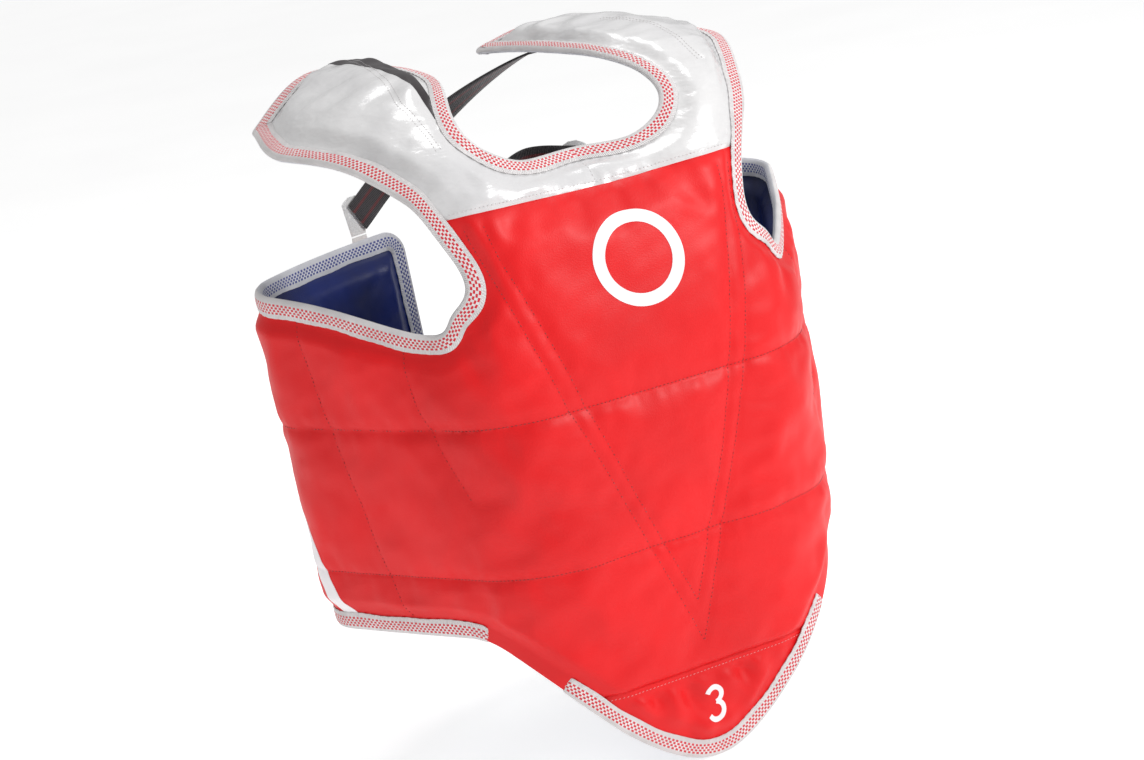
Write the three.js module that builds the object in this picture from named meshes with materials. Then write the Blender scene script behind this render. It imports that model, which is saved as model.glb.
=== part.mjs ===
// Reversible trunk protector: one padded sheet wrapped round the torso, two shoulder flaps,
// a bottom flap, edge binding, and elastic straps across the back.
//
// Frame: millimetres, +Z up, the wearer faces -Y, +X is the wearer's left.
// The origin is the middle of the flat inner chest face.
//
// The sheet is laid out flat as a pattern first. p runs across it from the centre front
// (positive to the wearer's left) and q runs up it from the tip of the bottom flap.
// sheetPoint(p, q) wraps the pattern round the body; depth is then measured inwards from
// the outer skin along the sheet's normal.

import * as THREE from 'three';

// ---------------------------------------------------------------- driving dimensions

// Plan of the wrap from the centre front to the back edge: each stretch is a circular arc.
const PLAN = [
  { length: 82, turn: 0, columns: 2 },     // flat chest
  { length: 91, turn: 60, columns: 6 },    // front corner
  { length: 162, turn: 3, columns: 3 },    // flank
  { length: 52, turn: 77, columns: 8 },    // back corner
  { length: 175, turn: 25, columns: 5 },   // back wing
];

// Side profile from the flap tip upwards: each stretch leans further back by its turn.
const PROFILE = [
  { length: 240, turn: 0 },     // upright belly and lower chest
  { length: 160, turn: 17.5 },  // upper chest
  { length: 70, turn: -0.5 },   // yoke
  { length: 70, turn: 31 },     // top of the chest rolling over
  { length: 100, turn: 35 },    // shoulder
  { length: 160, turn: 9 },     // flap behind the shoulder
];

const GIRTH_TAPER = 0.04 / 300;   // share of girth gained per millimetre of height
const TAPER_LEVEL = 302;          // height where the plan has its true size
const TAPER_TOP = 445;            // the girth stays constant above this
const LEAN_FADE = { from: 120, to: 270 };   // across this stretch of p the lean fades out

const ORIGIN_HEIGHT = 205;        // q of the origin
const PAD = 20;                   // full thickness of the padded sheet
const RIM = { width: 28, sink: 4, lift: 7 };   // near its rim the sheet is pinched thinner
const SKIN = 1.2;                 // cover and lining fabric
const SKIN_GAP = 2.1;             // between a skin and the foam
const FOAM_INSET = 5;             // foam stops this far inside a rim or a quilting line
const CUT_GAP = 0.6;              // half the gap where the sheet is cut at a fold

// How much of each panel its foam fills, as shares of the panel from one rim to the other.
const FOAM_FILL = {
  wing: [0.02, 0.98],
  yokeUp: [0.1, 0.9],
  yokeAside: [0, 0.96],
  shoulderLong: [0.03, 0.94],
  shoulderAcross: [0.08, 0.92],
  bottomFlapUp: [0.1, 0.9],
  bottomFlapAside: 74,            // half width in millimetres
};

// Shoulder flaps: the two sides sit a little differently, as soft flaps do.
const STRAP_CENTRE = 112;         // p of a flap's centre line
const STRAP_BLEND = { from: 440, to: 516 };   // the shoulder shape takes over here
const CAMBER = { drop: 22, reach: 70, soften: 100, centre: 30 };   // the flap's arch
const SWAY = { from: 445, span: 300 };
const SHOULDER = {
  right: { lean: -73, curl: 89, roll: 6.7 },
  left: { lean: -52, curl: 29, roll: -2.8 },
};

// Outline of one half of the pattern; the other half mirrors it.
const NECK_EDGE = [[-56, 508], [0, 514], [56, 508], [94, 527], [101, 566], [73, 640], [42, 783]];
const ARM_EDGE = [[390, 418], [300, 407], [182, 381], [147, 396], [127, 433], [180, 540],
  [215, 640], [192, 716]];
const FLAP_BULGE = 10;            // the flap's back end bows out by this
const WING_FOLD = 182;            // p of the fold at the lowest point of the armhole
const ARMHOLE_LOW = 381;
const WING_TOP = 418;
const WING_END = 562;
const WING_CORNER = 18;
const HEM = { height: 135.5, reach: 209 };
const FLAP_SEAM = 76.5;
const FLAP_HALF_WIDTH = 104;
const FLAP_CLEARANCE = 4.5;       // room for the bottom flap to swing
const YOKE_LINE = 472;
const YOKE_HALF_WIDTH = 138;
const SHOULDER_FOLD = 545;
const QUILT_LINES = [186, 308];

// Trim.
const BINDING = { leg: 12.5, clear: 2.2, cloth: 1.0, overhang: 1.5 };
const SEAM_ROOM = 0.7;            // share of the way to the flap seam that a tape may cover
const TAPE_END = { yoke: 0.96, corner: 0.98, hem: 12 };   // where the tape stops short of a fold
const TAB = { p: 528, depth: -3.4, width: 26, cloth: 1.2, drop: 34, hinge: 5, rise: 34 };
const STRAP = { width: 28, cloth: 1.8, stand: 2.5, leave: 30, rise: 16, grip: 40 };
// The left strap is drawn tight; the right one sags and meets its tab from below.
const HANG = { right: { slope: 0.15, sag: 50 }, left: { slope: 0.6, sag: 0 } };
const STRAP_SEWN = { along: 0.84, across: 0.4 };   // shares of the shoulder flap's underside
const STRAP_LEVEL = -3;                       // both straps lie inside their tabs
const CROSSING = { right: -11, left: 11 };    // and the right strap passes inside the left one
const WAIST = { q: 205, width: 38, start: 540, hook: [498, 527], loop: [492, 540], bow: 48 };
const WAIST_DEPTHS = { loop: [-1.4, -0.6], hook: [-2.8, -1.8], strap: [-5, -3.2] };

// ---------------------------------------------------------------- small helpers

const rad = (degrees) => degrees * Math.PI / 180;
const mix = (a, b, t) => a + (b - a) * t;

function smooth(t) {
  const c = Math.min(1, Math.max(0, t));
  return c * c * (3 - 2 * c);
}

function steps(from, to, count) {
  return Array.from({ length: count + 1 }, (_, i) => mix(from, to, i / count));
}

function arcPlace(leg, distance) {
  const heading = leg.heading + leg.bend * distance;
  if (leg.bend === 0) {
    const along = leg.along + Math.cos(heading) * distance;
    const aside = leg.aside + Math.sin(heading) * distance;
    return { along, aside, heading };
  }
  const along = leg.along + (Math.sin(heading) - Math.sin(leg.heading)) / leg.bend;
  const aside = leg.aside + (Math.cos(leg.heading) - Math.cos(heading)) / leg.bend;
  return { along, aside, heading };
}

// Follows a chain of circular arcs and gives the place reached after any distance.
function walk(stretches) {
  const legs = [];
  let next = { start: 0, along: 0, aside: 0, heading: 0 };
  for (const { length, turn } of stretches) {
    const leg = { ...next, end: next.start + length, bend: rad(turn) / length };
    legs.push(leg);
    next = { start: leg.end, ...arcPlace(leg, length) };
  }
  return (distance) => {
    const leg = legs.find(({ end }) => distance < end) ?? legs.at(-1);
    return arcPlace(leg, distance - leg.start);
  };
}

const plan = walk(PLAN);
const profile = walk(PROFILE);

// ---------------------------------------------------------------- the wrapped sheet

// The torso part of the sheet: the plan, tapered with height, leaning back at the chest.
function torsoPoint(a, q) {
  const across = plan(a);
  const up = profile(q);
  const girth = 1 + GIRTH_TAPER * (Math.min(q, TAPER_TOP) - TAPER_LEVEL);
  const upright = smooth((a - LEAN_FADE.from) / (LEAN_FADE.to - LEAN_FADE.from));
  return [
    across.along * girth,
    up.aside * (1 - upright) + across.aside * girth,
    mix(up.along, q, upright),
  ];
}

// The shoulder part: an arched strip that follows the profile, swaying and rolling on the way.
function shoulderPoint(a, q, side) {
  const centre = plan(STRAP_CENTRE);
  const up = profile(q);
  const t = Math.max(0, (q - SWAY.from) / SWAY.span);
  const hold = smooth(a / STRAP_CENTRE);
  const w = a - STRAP_CENTRE;
  const roll = rad(side.roll) * smooth(3 * t) * hold;
  const rounded = Math.hypot(a, CAMBER.centre) - STRAP_CENTRE;
  const arch = CAMBER.drop * (rounded / CAMBER.reach) ** 2 / (1 + (rounded / CAMBER.soften) ** 2);
  const drop = w * Math.sin(roll) + arch;
  return [
    a * centre.along / STRAP_CENTRE + t * (side.lean + side.curl * t) * hold,
    up.aside + centre.aside + drop * Math.cos(up.heading),
    up.along - drop * Math.sin(up.heading),
  ];
}

function sheetPoint(p, q) {
  const a = Math.abs(p);
  const low = torsoPoint(a, q);
  const high = shoulderPoint(a, q, p < 0 ? SHOULDER.right : SHOULDER.left);
  const blend = smooth((q - STRAP_BLEND.from) / (STRAP_BLEND.to - STRAP_BLEND.from));
  const [x, y, z] = low.map((value, i) => mix(value, high[i], blend));
  return new THREE.Vector3(p < 0 ? -x : x, y - PAD, z - ORIGIN_HEIGHT);
}

function outward(p, q) {
  const reach = 0.5;
  const across = sheetPoint(p + reach, q).sub(sheetPoint(p - reach, q));
  const up = sheetPoint(p, q + reach).sub(sheetPoint(p, q - reach));
  return across.cross(up).normalize();
}

// The place at a depth below the outer skin; a negative depth stands outside it.
function padPoint({ p, q }, depth) {
  return sheetPoint(p, q).addScaledVector(outward(p, q), -depth);
}

// ---------------------------------------------------------------- the outline

function spline(points, divisions) {
  const curve = new THREE.SplineCurve(points.map(([p, q]) => new THREE.Vector2(p, q)));
  return curve.getPoints(divisions).map((v) => ({ p: v.x, q: v.y }));
}

const neckEdge = spline(NECK_EDGE, 150).filter(({ p, q }) => p >= 0 || q > 600);
const armSpline = spline(ARM_EDGE, 168);
const lowest = armSpline.findIndex(({ p }) => p <= WING_FOLD + 0.01);
const wingEdge = armSpline.slice(0, lowest + 1);
const armEdge = armSpline.slice(lowest);

// Reads an edge: its value of one coordinate where the other has a given value.
function readEdge(edge, known, value, wanted) {
  for (let i = edge.length - 1; i > 0; i--) {
    const [a, b] = [edge[i - 1], edge[i]];
    const span = b[known] - a[known];
    if (span !== 0 && (a[known] - value) * (b[known] - value) <= 0) {
      return mix(a[wanted], b[wanted], (value - a[known]) / span);
    }
  }
  const ends = [edge[0], edge.at(-1)];
  ends.sort((a, b) => Math.abs(a[known] - value) - Math.abs(b[known] - value));
  return ends[0][wanted];
}

const neckAt = (q) => readEdge(neckEdge, 'q', q, 'p');
const armAt = (q) => readEdge(armEdge, 'q', q, 'p');

function cornerCut(p) {
  const into = Math.max(0, p - (WING_END - WING_CORNER)) / WING_CORNER;
  return WING_CORNER * (1 - Math.sqrt(Math.max(0, 1 - into * into)));
}

const hemAt = (p) => HEM.height * smooth(Math.abs(p) / HEM.reach) + cornerCut(Math.abs(p));
const wingTopAt = (p) => readEdge(wingEdge, 'p', p, 'q') - cornerCut(p);

// A place on a shoulder flap: t runs from its fold to its back end, v from neck to arm edge.
function flapPlace(t, v) {
  const neckQ = mix(SHOULDER_FOLD, NECK_EDGE.at(-1)[1], t);
  const armQ = mix(SHOULDER_FOLD, ARM_EDGE.at(-1)[1], t);
  return {
    p: mix(neckAt(neckQ), armAt(armQ), v),
    q: mix(neckQ, armQ, v) + 4 * v * (1 - v) * FLAP_BULGE * t * t,
  };
}

// The rim of one half, all the way round, and the sewn seam of the bottom flap.
const rim = [
  ...neckEdge.filter(({ q }) => q < SHOULDER_FOLD),
  ...steps(0, 1, 30).map((t) => flapPlace(t, 0)),
  ...steps(0, 1, 12).map((v) => flapPlace(1, v)),
  ...steps(1, 0, 30).map((t) => flapPlace(t, 1)),
  ...armEdge.filter(({ q }) => q < SHOULDER_FOLD).reverse(),
  ...steps(WING_FOLD, WING_END, 60).map((p) => ({ p, q: wingTopAt(p) })),
  ...steps(WING_END, 0, 80).map((p) => ({ p, q: hemAt(p) })),
];
const flapSeam = [{ p: 0, q: FLAP_SEAM }, { p: FLAP_HALF_WIDTH, q: FLAP_SEAM }];

function distanceTo(polyline, p, q) {
  let nearest = Infinity;
  for (let i = 1; i < polyline.length; i++) {
    const [a, b] = [polyline[i - 1], polyline[i]];
    const [dp, dq] = [b.p - a.p, b.q - a.q];
    const along = ((p - a.p) * dp + (q - a.q) * dq) / (dp * dp + dq * dq + 1e-9);
    const t = Math.min(1, Math.max(0, along));
    nearest = Math.min(nearest, Math.hypot(a.p + dp * t - p, a.q + dq * t - q));
  }
  return nearest;
}

// 1 at the rim, 0 in the full thickness of the sheet.
function pinch({ p, q }) {
  const a = Math.abs(p);
  const distance = Math.min(distanceTo(rim, a, q), distanceTo(flapSeam, a, q));
  return Math.max(0, 1 - distance / RIM.width);
}

const outerSkin = (place) => RIM.sink * pinch(place);
const innerSkin = (place) => PAD - RIM.lift * pinch(place);

// ---------------------------------------------------------------- solids

// Closes two facing grids of points, outer and inner, into one solid.
function shell(outer, inner) {
  const rows = outer.length - 1;
  const columns = outer[0].length - 1;
  const at = (r, c, layer) => (layer * (rows + 1) + r) * (columns + 1) + c;
  const quads = [];
  for (let r = 0; r < rows; r++) {
    for (let c = 0; c < columns; c++) {
      quads.push([at(r, c, 0), at(r, c + 1, 0), at(r + 1, c + 1, 0), at(r + 1, c, 0)]);
      quads.push([at(r + 1, c, 1), at(r + 1, c + 1, 1), at(r, c + 1, 1), at(r, c, 1)]);
    }
    quads.push([at(r, 0, 0), at(r + 1, 0, 0), at(r + 1, 0, 1), at(r, 0, 1)]);
    quads.push([at(r + 1, columns, 0), at(r, columns, 0), at(r, columns, 1), at(r + 1, columns, 1)]);
  }
  for (let c = 0; c < columns; c++) {
    quads.push([at(0, c, 1), at(0, c + 1, 1), at(0, c + 1, 0), at(0, c, 0)]);
    quads.push([at(rows, c, 0), at(rows, c + 1, 0), at(rows, c + 1, 1), at(rows, c, 1)]);
  }
  const points = [...outer.flat(), ...inner.flat()];
  const faces = quads.flatMap(([a, b, c, d]) => [[a, b, c], [a, c, d]]);
  const turned = volume(points, faces) < 0;
  const geometry = new THREE.BufferGeometry().setFromPoints(points);
  geometry.setIndex((turned ? faces.map(([a, b, c]) => [a, c, b]) : faces).flat());
  geometry.computeVertexNormals();
  return geometry;
}

function volume(points, faces) {
  const sixth = ([a, b, c]) => points[a].dot(points[b].clone().cross(points[c])) / 6;
  return faces.reduce((sum, face) => sum + sixth(face), 0);
}

// A layer of the sheet over a grid of pattern places, between two depths.
function layer(grid, outerDepth, innerDepth) {
  const build = (depth) => grid.map((row) => row.map((place) => padPoint(place, depth(place))));
  return shell(build(outerDepth), build(innerDepth));
}

const cover = (grid) => layer(grid, outerSkin, (place) => outerSkin(place) + SKIN);
const lining = (grid) => layer(grid, (place) => innerSkin(place) - SKIN, innerSkin);

function foam(grid) {
  const skin = SKIN + SKIN_GAP;
  return layer(grid, (place) => outerSkin(place) + skin, (place) => innerSkin(place) - skin);
}

// Folded tape round an edge. The path runs with the sheet on its left (side +1) or right (-1).
function binding(path, side) {
  const { leg, clear, cloth, overhang } = BINDING;
  const rows = path.map((place, i) => {
    const before = path[Math.max(0, i - 1)];
    const after = path[Math.min(path.length - 1, i + 1)];
    const length = Math.hypot(after.p - before.p, after.q - before.q);
    const inward = { p: -side * (after.q - before.q) / length, q: side * (after.p - before.p) / length };
    const room = SEAM_ROOM * distanceTo(flapSeam, Math.abs(place.p), place.q);
    const station = (reach, stand) => {
      const spot = { p: place.p + inward.p * reach, q: place.q + inward.q * reach };
      const from = reach > 0 ? spot : place;
      return [padPoint(spot, outerSkin(from) - stand), padPoint(spot, innerSkin(from) + stand)];
    };
    const [legOut, legIn] = station(Math.min(leg, room), clear + cloth);
    const [wallOut, wallIn] = station(-overhang - cloth, clear);
    const [legOutUnder, legInUnder] = station(Math.min(leg, room), clear);
    const [wallOutUnder, wallInUnder] = station(-overhang, clear - cloth);
    return {
      outside: [legOut, wallOut, wallIn, legIn],
      inside: [legOutUnder, wallOutUnder, wallInUnder, legInUnder],
    };
  });
  return shell(rows.map((row) => row.outside), rows.map((row) => row.inside));
}

// A flat strap along a curve, twisting from the way it faces at its start to that at its end.
function ribbon(curve, faces, width, cloth, divisions) {
  const [first, last] = faces.map((face, i) => curve.getTangent(i).cross(face).normalize());
  const stations = steps(0, 1, divisions).map((t) => {
    const run = curve.getTangentAt(t);
    const across = first.clone().lerp(last, smooth(t)).projectOnPlane(run).normalize();
    return { centre: curve.getPointAt(t), across, face: across.clone().cross(run) };
  });
  const edges = (offset) => stations.map(({ centre, across, face }) => [-0.5, 0.5].map((half) => (
    centre.clone().addScaledVector(across, half * width).addScaledVector(face, offset * cloth)
  )));
  return shell(edges(0.5), edges(-0.5));
}

// ---------------------------------------------------------------- grids of pattern places

// Column positions for the plan, closer together where the sheet turns tightly.
function planColumns(from, to) {
  const inside = [];
  let start = 0;
  for (const { length, columns } of PLAN) {
    inside.push(...steps(start, start + length, columns));
    start += length;
  }
  const kept = inside.filter((p) => p > from + 4 && p < to - 4);
  return [...new Set([from, ...kept, to])];
}

const mirrored = (columns) => [...columns.filter((p) => p > 0).reverse().map((p) => -p), ...columns];

function grid(columns, rows, place) {
  return rows.map((row) => columns.map((column) => place(column, row)));
}

const foldSide = WING_FOLD - CUT_GAP;

// Keeps the inner lines of a list and moves its two ends inwards.
function insetEnds(lines, from, to) {
  return [from, ...lines.filter((line) => line > from && line < to), to];
}

// Front of the torso. Levels below the first quilting line fan out from the hem; levels above
// the armhole's lowest point follow the armhole's edge.
const ARMHOLE_RISES = [3, 7, 13, 21, 34, 52, 70];   // above the armhole's lowest point
const FRONT_LEVELS = [
  ...steps(FLAP_SEAM, QUILT_LINES[0], 3),
  ...steps(QUILT_LINES[0], QUILT_LINES[1], 3).slice(1),
  ...steps(QUILT_LINES[1], ARMHOLE_LOW, 2).slice(1),
  ...[0.7, ...ARMHOLE_RISES].map((rise) => ARMHOLE_LOW + rise),
  YOKE_LINE - CUT_GAP,
];

function frontPlace(p, level) {
  const [quilt] = QUILT_LINES;
  if (level < quilt) {
    const bottom = Math.max(FLAP_SEAM, hemAt(p));
    return { p, q: mix(bottom, quilt, (level - FLAP_SEAM) / (quilt - FLAP_SEAM)) };
  }
  const narrowed = level > ARMHOLE_LOW ? Math.min(1, armAt(level) / WING_FOLD) : 1;
  return { p: p * narrowed, q: level };
}

const chestGrid = () => grid(mirrored(planColumns(0, foldSide)), FRONT_LEVELS, frontPlace);

// Yoke: from the yoke seam up to the neckline and the two shoulder folds.
const YOKE_CORNER = 0.6;   // share of the half width where the neckline meets the fold
const YOKE_SHARES = [...steps(0, YOKE_CORNER, 7), ...steps(YOKE_CORNER, 1, 4).slice(1)];
const YOKE_ROWS = steps(0, 1, 4);

function yokeTop(share) {
  const foldQ = SHOULDER_FOLD - CUT_GAP;
  const cornerP = neckAt(foldQ);
  const armP = armAt(foldQ);
  if (share > YOKE_CORNER) {
    return { p: mix(cornerP, armP, (share - YOKE_CORNER) / (1 - YOKE_CORNER)), q: foldQ };
  }
  const low = [...neckEdge.filter(({ q }) => q < foldQ), { p: cornerP, q: foldQ }];
  const spot = share / YOKE_CORNER * (low.length - 1);
  const [a, b] = [low[Math.floor(spot)], low[Math.ceil(spot)]];
  return { p: mix(a.p, b.p, spot % 1), q: mix(a.q, b.q, spot % 1) };
}

function yokePlace(share, t) {
  const top = yokeTop(Math.abs(share));
  const bottom = { p: YOKE_HALF_WIDTH * Math.abs(share), q: YOKE_LINE + CUT_GAP };
  return { p: Math.sign(share) * mix(bottom.p, top.p, t), q: mix(bottom.q, top.q, t) };
}

function yokeGrid(shares, rows) {
  const signed = shares.flatMap((s) => (s > 0 ? [-s, s] : [0])).sort((a, b) => a - b);
  return grid(signed, rows, yokePlace);
}

const WING_ROWS = [0, 0.06, 0.28, 0.5, 0.72, 0.94, 1];

function wingGrid(columns, side, rows) {
  return grid(columns, rows, (p, t) => ({ p: side * p, q: mix(hemAt(p), wingTopAt(p), t) }));
}

function flapGrid(side, lengthwise, crosswise) {
  return grid(crosswise, lengthwise, (v, t) => onSide(side)(flapPlace(t, v)));
}

function bottomFlapGrid(columns, rows) {
  return grid(columns, rows, (p, t) => ({ p, q: mix(hemAt(p), FLAP_SEAM - FLAP_CLEARANCE, t) }));
}

// ---------------------------------------------------------------- looks

const looks = {
  red: { color: 0xe02830, roughness: 0.5 },
  white: { color: 0xe8e8ec, roughness: 0.3 },
  navy: { color: 0x14284e, roughness: 0.5 },
  foam: { color: 0xe6e2d6, roughness: 0.95 },
  tape: { color: 0xe0c4c6, roughness: 0.8 },
  elastic: { color: 0x1c1618, roughness: 0.8 },
  hook: { color: 0xf2f2f0, roughness: 0.9 },
};

const protector = new THREE.Group();

function add(name, geometry, look) {
  const material = new THREE.MeshStandardMaterial({ ...looks[look], metalness: 0 });
  const mesh = new THREE.Mesh(geometry, material);
  mesh.name = name;
  protector.add(mesh);
}

// ---------------------------------------------------------------- torso

const SIDES = [{ name: 'right', sign: -1 }, { name: 'left', sign: 1 }];
const onSide = (sign) => ({ p, q }) => ({ p: sign * p, q });

function buildTorso() {
  add('chest_cover', cover(chestGrid()), 'red');
  add('chest_lining', lining(chestGrid()), 'navy');
  const seams = [FLAP_SEAM, ...QUILT_LINES, YOKE_LINE];
  const flatEnd = PLAN[0].length;
  ['lower', 'middle', 'upper'].forEach((row, i) => {
    const levels = insetEnds(FRONT_LEVELS, seams[i] + FOAM_INSET, seams[i + 1] - FOAM_INSET);
    const flat = mirrored(planColumns(0, flatEnd - CUT_GAP));
    add(`chest_foam_${row}`, foam(grid(flat, levels, frontPlace)), 'foam');
    for (const { name, sign } of SIDES) {
      const corner = planColumns(flatEnd + CUT_GAP, foldSide - FOAM_INSET).map((p) => sign * p);
      add(`${name}_corner_foam_${row}`, foam(grid(corner, levels, frontPlace)), 'foam');
    }
  });
}

function buildYoke() {
  add('yoke_cover', cover(yokeGrid(YOKE_SHARES, YOKE_ROWS)), 'white');
  add('yoke_lining', lining(yokeGrid(YOKE_SHARES, YOKE_ROWS)), 'white');
  const foamShares = insetEnds(YOKE_SHARES, ...FOAM_FILL.yokeAside);
  const foamRows = insetEnds(YOKE_ROWS, ...FOAM_FILL.yokeUp);
  add('yoke_foam', foam(yokeGrid(foamShares, foamRows)), 'foam');
}

function buildTorsoBindings() {
  const shares = [...YOKE_SHARES.filter((share) => share < YOKE_CORNER), YOKE_CORNER * TAPE_END.corner];
  const half = shares.map(yokeTop);
  const neckline = [...half.slice(1).reverse().map(onSide(-1)), ...half];
  add('neckline_binding', binding(neckline, -1), 'tape');
  for (const { name, sign } of SIDES) {
    const levels = [0, ...ARMHOLE_RISES, YOKE_LINE - ARMHOLE_LOW].map((rise) => ARMHOLE_LOW + rise);
    const beside = levels.map((level) => frontPlace(foldSide, level));
    const above = [...YOKE_ROWS.slice(1, -1), TAPE_END.yoke].map((t) => yokePlace(1, t));
    const armhole = [...beside, ...above].map(onSide(sign));
    add(`${name}_armhole_binding`, binding(armhole, sign), 'tape');
    const hem = steps(FLAP_HALF_WIDTH + TAPE_END.hem, foldSide, 5).map((p) => ({ p, q: hemAt(p) }));
    add(`${name}_hem_binding`, binding(hem.map(onSide(sign)), sign), 'tape');
  }
}

// ---------------------------------------------------------------- wings

function buildWing({ name, sign }) {
  const start = WING_FOLD + CUT_GAP;
  const rounding = [WING_CORNER, WING_CORNER * 0.6, WING_CORNER * 0.2, 0].map((inset) => WING_END - inset);
  const columns = [...planColumns(start, WING_END - WING_CORNER - 6).slice(0, -1), ...rounding];
  add(`${name}_wing_cover`, cover(wingGrid(columns, sign, WING_ROWS)), 'red');
  add(`${name}_wing_lining`, lining(wingGrid(columns, sign, WING_ROWS)), 'navy');
  const foamRows = insetEnds(WING_ROWS, ...FOAM_FILL.wing);
  const flankEnd = PLAN[0].length + PLAN[1].length + PLAN[2].length;
  const cornerEnd = flankEnd + PLAN[3].length;
  const pieces = [
    ['flank_foam', start + FOAM_INSET, flankEnd - CUT_GAP],
    ['back_corner_foam', flankEnd + CUT_GAP, cornerEnd - CUT_GAP],
    ['back_foam', cornerEnd + CUT_GAP, WING_END - WING_CORNER],
  ];
  for (const [piece, from, to] of pieces) {
    add(`${name}_${piece}`, foam(wingGrid(planColumns(from, to), sign, foamRows)), 'foam');
  }
  const top = columns.map((p) => ({ p, q: wingTopAt(p) }));
  const back = steps(0, 1, 6).slice(1, -1).map((t) => (
    { p: WING_END, q: mix(wingTopAt(WING_END), hemAt(WING_END), t) }
  ));
  const bottom = columns.map((p) => ({ p, q: hemAt(p) })).reverse();
  add(`${name}_wing_binding`, binding([...top, ...back, ...bottom].map(onSide(sign)), -sign), 'tape');
}

// ---------------------------------------------------------------- shoulders

function buildShoulder({ name, sign }) {
  const first = CUT_GAP / (NECK_EDGE.at(-1)[1] - SHOULDER_FOLD);
  const tapeFrom = 0.02;
  const lengthwise = [first, tapeFrom, ...steps(0, 1, 11).slice(1)];
  const crosswise = steps(0, 1, 6);
  add(`${name}_shoulder_cover`, cover(flapGrid(sign, lengthwise, crosswise)), 'white');
  add(`${name}_shoulder_lining`, lining(flapGrid(sign, lengthwise, crosswise)), 'white');
  const foamLong = insetEnds(lengthwise, ...FOAM_FILL.shoulderLong);
  const foamAcross = insetEnds(crosswise, ...FOAM_FILL.shoulderAcross);
  add(`${name}_shoulder_foam`, foam(flapGrid(sign, foamLong, foamAcross)), 'foam');
  const path = [
    ...lengthwise.slice(1).map((t) => flapPlace(t, 0)),
    ...crosswise.slice(1, -1).map((v) => flapPlace(1, v)),
    ...lengthwise.slice(1).map((t) => flapPlace(t, 1)).reverse(),
  ];
  add(`${name}_shoulder_binding`, binding(path.map(onSide(sign)), -sign), 'tape');
}

// ---------------------------------------------------------------- bottom flap

function buildBottomFlap() {
  const columns = mirrored([...steps(0, 80, 4), FLAP_HALF_WIDTH]);
  const rows = steps(0, 1, 4);
  add('bottom_flap_cover', cover(bottomFlapGrid(columns, rows)), 'red');
  add('bottom_flap_lining', lining(bottomFlapGrid(columns, rows)), 'navy');
  const foamColumns = mirrored([...steps(0, 60, 3), FOAM_FILL.bottomFlapAside]);
  const foamRows = insetEnds(rows, ...FOAM_FILL.bottomFlapUp);
  add('bottom_flap_foam', foam(bottomFlapGrid(foamColumns, foamRows)), 'foam');
  add('bottom_flap_binding', binding(columns.map((p) => ({ p, q: hemAt(p) })), 1), 'tape');
}

// ---------------------------------------------------------------- elastic straps and tabs

const UP = new THREE.Vector3(0, 0, 1);

// Where a wing carries its hook tab: on the outer side of the top edge, near the back end.
function tabFrame(sign) {
  const place = { p: sign * TAB.p, q: WING_TOP - TAB.drop };
  const face = outward(place.p, place.q).setZ(0).normalize();
  const top = padPoint(place, TAB.depth).addScaledVector(UP, TAB.drop + TAB.hinge);
  return { top, face };
}

function buildTabs({ name, sign }) {
  const { top, face } = tabFrame(sign);
  const strip = (low, high) => {
    const line = new THREE.LineCurve3(
      top.clone().addScaledVector(UP, low), top.clone().addScaledVector(UP, high));
    return ribbon(line, [face, face], TAB.width, TAB.cloth, 4);
  };
  add(`${name}_tab_base`, strip(-TAB.drop - TAB.hinge, -CUT_GAP), 'hook');
  add(`${name}_tab`, strip(CUT_GAP, TAB.rise), 'hook');
}

// Back strap: sewn under one shoulder flap, it crosses the back to the other side's wing tab.
function buildBackStrap({ name, sign }) {
  const sewn = onSide(sign)(flapPlace(STRAP_SEWN.along, STRAP_SEWN.across));
  const start = padPoint(sewn, innerSkin(sewn) + STRAP.stand + STRAP.cloth / 2);
  const corner = onSide(sign)(flapPlace(1, 0));
  const leaving = padPoint(corner, PAD + STRAP.stand).sub(start).setLength(STRAP.leave);
  const { top, face } = tabFrame(-sign);
  const end = top.clone().addScaledVector(face, STRAP_LEVEL).addScaledVector(UP, STRAP.rise);
  const inwards = face.clone().cross(UP).multiplyScalar(sign * STRAP.grip);
  const grip = end.clone().add(inwards).addScaledVector(UP, STRAP.grip * HANG[name].slope);
  const left = start.clone().add(leaving);
  const middle = left.clone().lerp(grip, 0.5);
  middle.addScaledVector(new THREE.Vector3(0, 1, 1).normalize(), CROSSING[name]);
  middle.addScaledVector(UP, -HANG[name].sag);
  const path = new THREE.CatmullRomCurve3([start, left, middle, grip, end], false, 'centripetal');
  const under = outward(sewn.p, sewn.q);
  add(`${name}_back_strap`, ribbon(path, [under, face], STRAP.width, STRAP.cloth, 24), 'elastic');
}

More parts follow.
